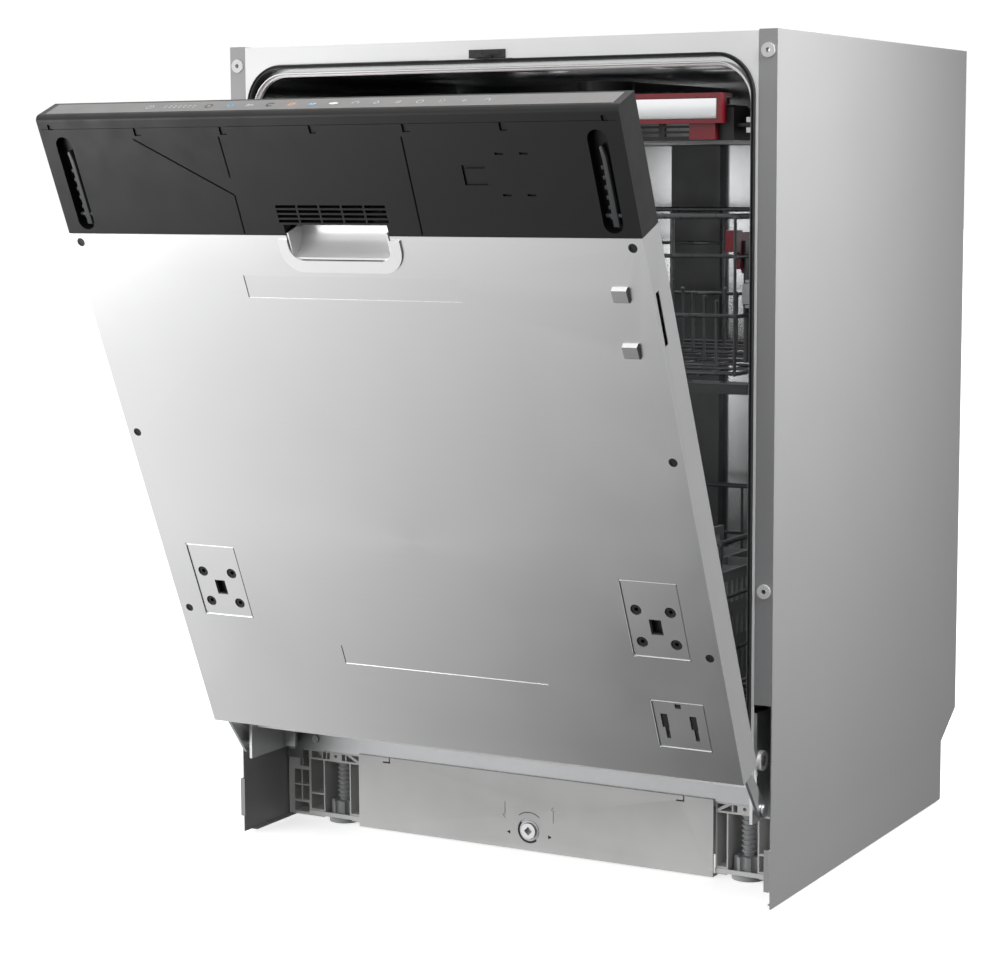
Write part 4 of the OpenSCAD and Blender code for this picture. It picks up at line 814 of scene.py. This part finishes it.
def adjuster_housings():
    """Dark housings of the height adjusters on both sides of the upper basket."""
    s = Shape()
    for side in SIDES:
        body, ribs = sorted((side * 247.5, side * 252.4)), sorted((side * 246.6, side * 248.2))
        s.block(body, (UPPER_Y + 32, UPPER_Y + 62), (UPPER_Z + 8, UPPER_Z + 84), 2.0)
        s.block(body, (UPPER_Y + 38, UPPER_Y + 56), (UPPER_Z + 80, UPPER_Z + 92), 1.4)
        for z in spread(UPPER_Z + 18, UPPER_Z + 70, 6):
            s.block(ribs, (UPPER_Y + 36, UPPER_Y + 58), (z, z + 3), 0.5)
    s.piece("adjuster_housings", "upper_basket", "dark_grey_plastic", [M["dark_grey_plastic"]])


def spray_jets():
    """Raised nozzles round the jets, and ribs round each hub."""
    for name, reach, y, z, hub in (("upper_spray_arm", 196, UPPER_Y + UPPER_D / 2, UPPER_Z - 26.6, 24),
                                   ("lower_spray_arm", 212, ARM_Y, FLOOR_Z + 26, 27),
                                   ("ceiling_spray_arm", 92, ARM_Y, 768.4, 18)):
        s = Shape()
        for side in SIDES:
            for i in range(1, 5):
                s.lathe([(1.8, -0.4), (3.6, -0.4), (3.0, 0.9), (1.8, 1.1), (1.8, -0.4)],
                        (side * reach * (0.2 + 0.19 * i), y + 3 * side, z), steps=20)
        for a in turns(12):
            rib_x, rib_y = (hub - 1) * math.cos(a), y + (hub - 1) * math.sin(a)
            s.block((rib_x - 1, rib_x + 1), (rib_y - 1, rib_y + 1), (z - 6, z + 0.9), 0.4)
        s.piece(name + "_jets", name, "dark_grey_plastic", [M["dark_grey_plastic"]])


def wheel_tyres():
    """Soft treads on the lower basket's wheels."""
    for name, y in (("lower_wheels_front", LOWER_Y + 48), ("lower_wheels_rear", LOWER_Y + 344)):
        s = Shape()
        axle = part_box(name)
        z = (axle[0].z + axle[1].z) / 2 / MM
        for side in SIDES:
            a, b = sorted((side * 238.4, side * 246.6))
            s.lathe([(15.0, a), (17.6, a), (18.1, a + 1.2), (18.1, b - 1.2), (17.6, b), (15.0, b), (15.0, a)],
                    (0, y, z), "X", 48)
        s.piece(name + "_tyres", name, "grey_plastic", [M["dark_grey_plastic"]])


for build in (touch_icons, slot_sliders, liner_beads, dispenser_marks, lid_ribs, plug_rims, plate_beads,
              head_groove_painted_shadows, mouth_bead, tub_pressings, cord_rollers, back_screws, plinth_painted_shadows, rear_fittings,
              sump_ribs, tray_trim, wire_tips, rim_wires, adjuster_housings, spray_jets, wheel_tyres):
    build()


# ---- Floor, light and camera ----

FLOOR_SIZE, FLOOR_DROP, FLOOR_GLOW = 60, 0.0005, 0.65
BACKDROP_RADIUS = 28
# The sky's strength at the lower right and at the upper left, and where along that line it changes.
SKY, SKY_BAND, SKY_AXIS = (0.045, 1.03), (-0.36, -0.08), (-1, 0, 1)


def seen_only(obj):
    """Makes the object show in the picture without lighting, shading or reflecting in anything."""
    obj.visible_diffuse = obj.visible_glossy = obj.visible_transmission = obj.visible_shadow = False


def floor():
    """White paper under the cabinet that glows a little, so that it stays as white as the backdrop."""
    look = Look("floor_paint", specular=0.2)
    look.paint(look.blend(look.span(look.noise(1.2, detail=2), 0, 1), (0.86, 0.86, 0.86), (0.9, 0.9, 0.9)))
    look.gloss(look.span(look.noise(5), 0.7, 0.85))
    look.shader.inputs["Emission Color"].default_value = (1, 1, 1, 1)
    look.shader.inputs["Emission Strength"].default_value = FLOOR_GLOW
    bpy.ops.mesh.primitive_plane_add(size=FLOOR_SIZE, location=(0, 0, -FLOOR_DROP))
    obj = bpy.context.object
    obj.name = "studio_floor"
    obj.data.materials.append(look.mat)
    seen_only(obj)


def backdrop():
    """A plain white dome behind everything."""
    mat = bpy.data.materials.new("backdrop_paper")
    mat.use_nodes = True
    shader = mat.node_tree.nodes["Principled BSDF"]
    shader.inputs["Base Color"].default_value = (0, 0, 0, 1)
    shader.inputs["Emission Color"].default_value = (1, 1, 1, 1)
    shader.inputs["Emission Strength"].default_value = 1.0
    bpy.ops.mesh.primitive_uv_sphere_add(segments=48, ring_count=24, radius=BACKDROP_RADIUS)
    obj = bpy.context.object
    obj.name = "studio_backdrop"
    obj.data.materials.append(mat)
    seen_only(obj)


def studio():
    """Soft light all round that falls off from the upper left to the lower right."""
    world = bpy.data.worlds.new("studio")
    world.use_nodes = True
    tree = world.node_tree
    coords = tree.nodes.new("ShaderNodeTexCoord")
    dot = tree.nodes.new("ShaderNodeVectorMath")
    dot.operation = "DOT_PRODUCT"
    dot.inputs[1].default_value = SKY_AXIS
    ramp = tree.nodes.new("ShaderNodeMapRange")
    ramp.interpolation_type = "SMOOTHSTEP"
    for key, value in (("From Min", SKY_BAND[0]), ("From Max", SKY_BAND[1]), ("To Min", SKY[0]),
                       ("To Max", SKY[1])):
        ramp.inputs[key].default_value = value
    tree.links.new(coords.outputs["Generated"], dot.inputs[0])
    tree.links.new(dot.outputs["Value"], ramp.inputs["Value"])
    tree.links.new(ramp.outputs["Result"], tree.nodes["Background"].inputs["Strength"])
    tree.nodes["Background"].inputs["Color"].default_value = (1, 1, 1, 1)
    bpy.context.scene.world = world
    bpy.context.scene.view_settings.view_transform = "Standard"


def softbox(name, place, aim, size, power, gloss_only=False, beam=180):
    """A rectangular light: places and sizes in metres, power in watts, beam in degrees."""
    data = bpy.data.lights.new(name, "AREA")
    data.shape, data.size, data.size_y, data.energy = "RECTANGLE", size[0], size[1], power
    data.spread = math.radians(beam)
    obj = bpy.data.objects.new(name, data)
    obj.location = place
    obj.rotation_mode = "QUATERNION"
    obj.rotation_quaternion = (Vector(aim) - Vector(place)).to_track_quat("-Z", "Y")
    obj.visible_camera = False
    obj.visible_diffuse = not gloss_only
    bpy.context.scene.collection.objects.link(obj)


floor()
backdrop()
studio()
softbox("key", place=(-1.6, -1.6, 2.2), aim=(-0.1, -0.2, 0.4), size=(2.1, 2.1), power=10)
softbox("low_left", place=(-0.95, -1.15, 0.35), aim=(-0.2, -0.4, 0.6), size=(0.7, 0.6), power=6)
softbox("side", place=(1.05, -0.13, 1.3), aim=(0.3, -0.12, 0.6), size=(0.3, 1.0), power=7, beam=90)
softbox("edge", place=(1.70, 2.3, 0.1), aim=(0.3, 0.0, 0.4), size=(0.4, 2.8), power=4, gloss_only=True)
softbox("inside", place=(0.05, 0.25, 0.66), aim=(0.0, -0.1, 0.3), size=(0.35, 0.25), power=0.25)

# The camera was solved from the outlines of the cabinet, door and plinth: metres from the target, lens and
# sensor in millimetres.
AZIMUTH, ELEVATION, ROLL = math.radians(29.283), math.radians(7.127), math.radians(-0.291)
DISTANCE, LENS, SENSOR, NEAREST, FARTHEST = 2.7105, 89.664, 36, 0.05, 60
target = CABINET @ Vector((-128.7, 250, 350.7))
level = Vector((math.sin(AZIMUTH), -math.cos(AZIMUTH), 0))
back = level * math.cos(ELEVATION) + Vector((0, 0, math.sin(ELEVATION)))
right = Vector((math.cos(AZIMUTH), math.sin(AZIMUTH), 0))
up = back.cross(right)
rolled = math.cos(ROLL) * right + math.sin(ROLL) * up
up = math.cos(ROLL) * up - math.sin(ROLL) * right
data = bpy.data.cameras.new("camera")
data.lens, data.sensor_width, data.clip_start, data.clip_end = LENS, SENSOR, NEAREST, FARTHEST
camera = bpy.data.objects.new("camera", data)
turned = Matrix((rolled, up, back)).transposed().to_4x4()
camera.matrix_world = Matrix.Translation(target + back * DISTANCE) @ turned
bpy.context.scene.collection.objects.link(camera)
bpy.context.scene.camera = camera
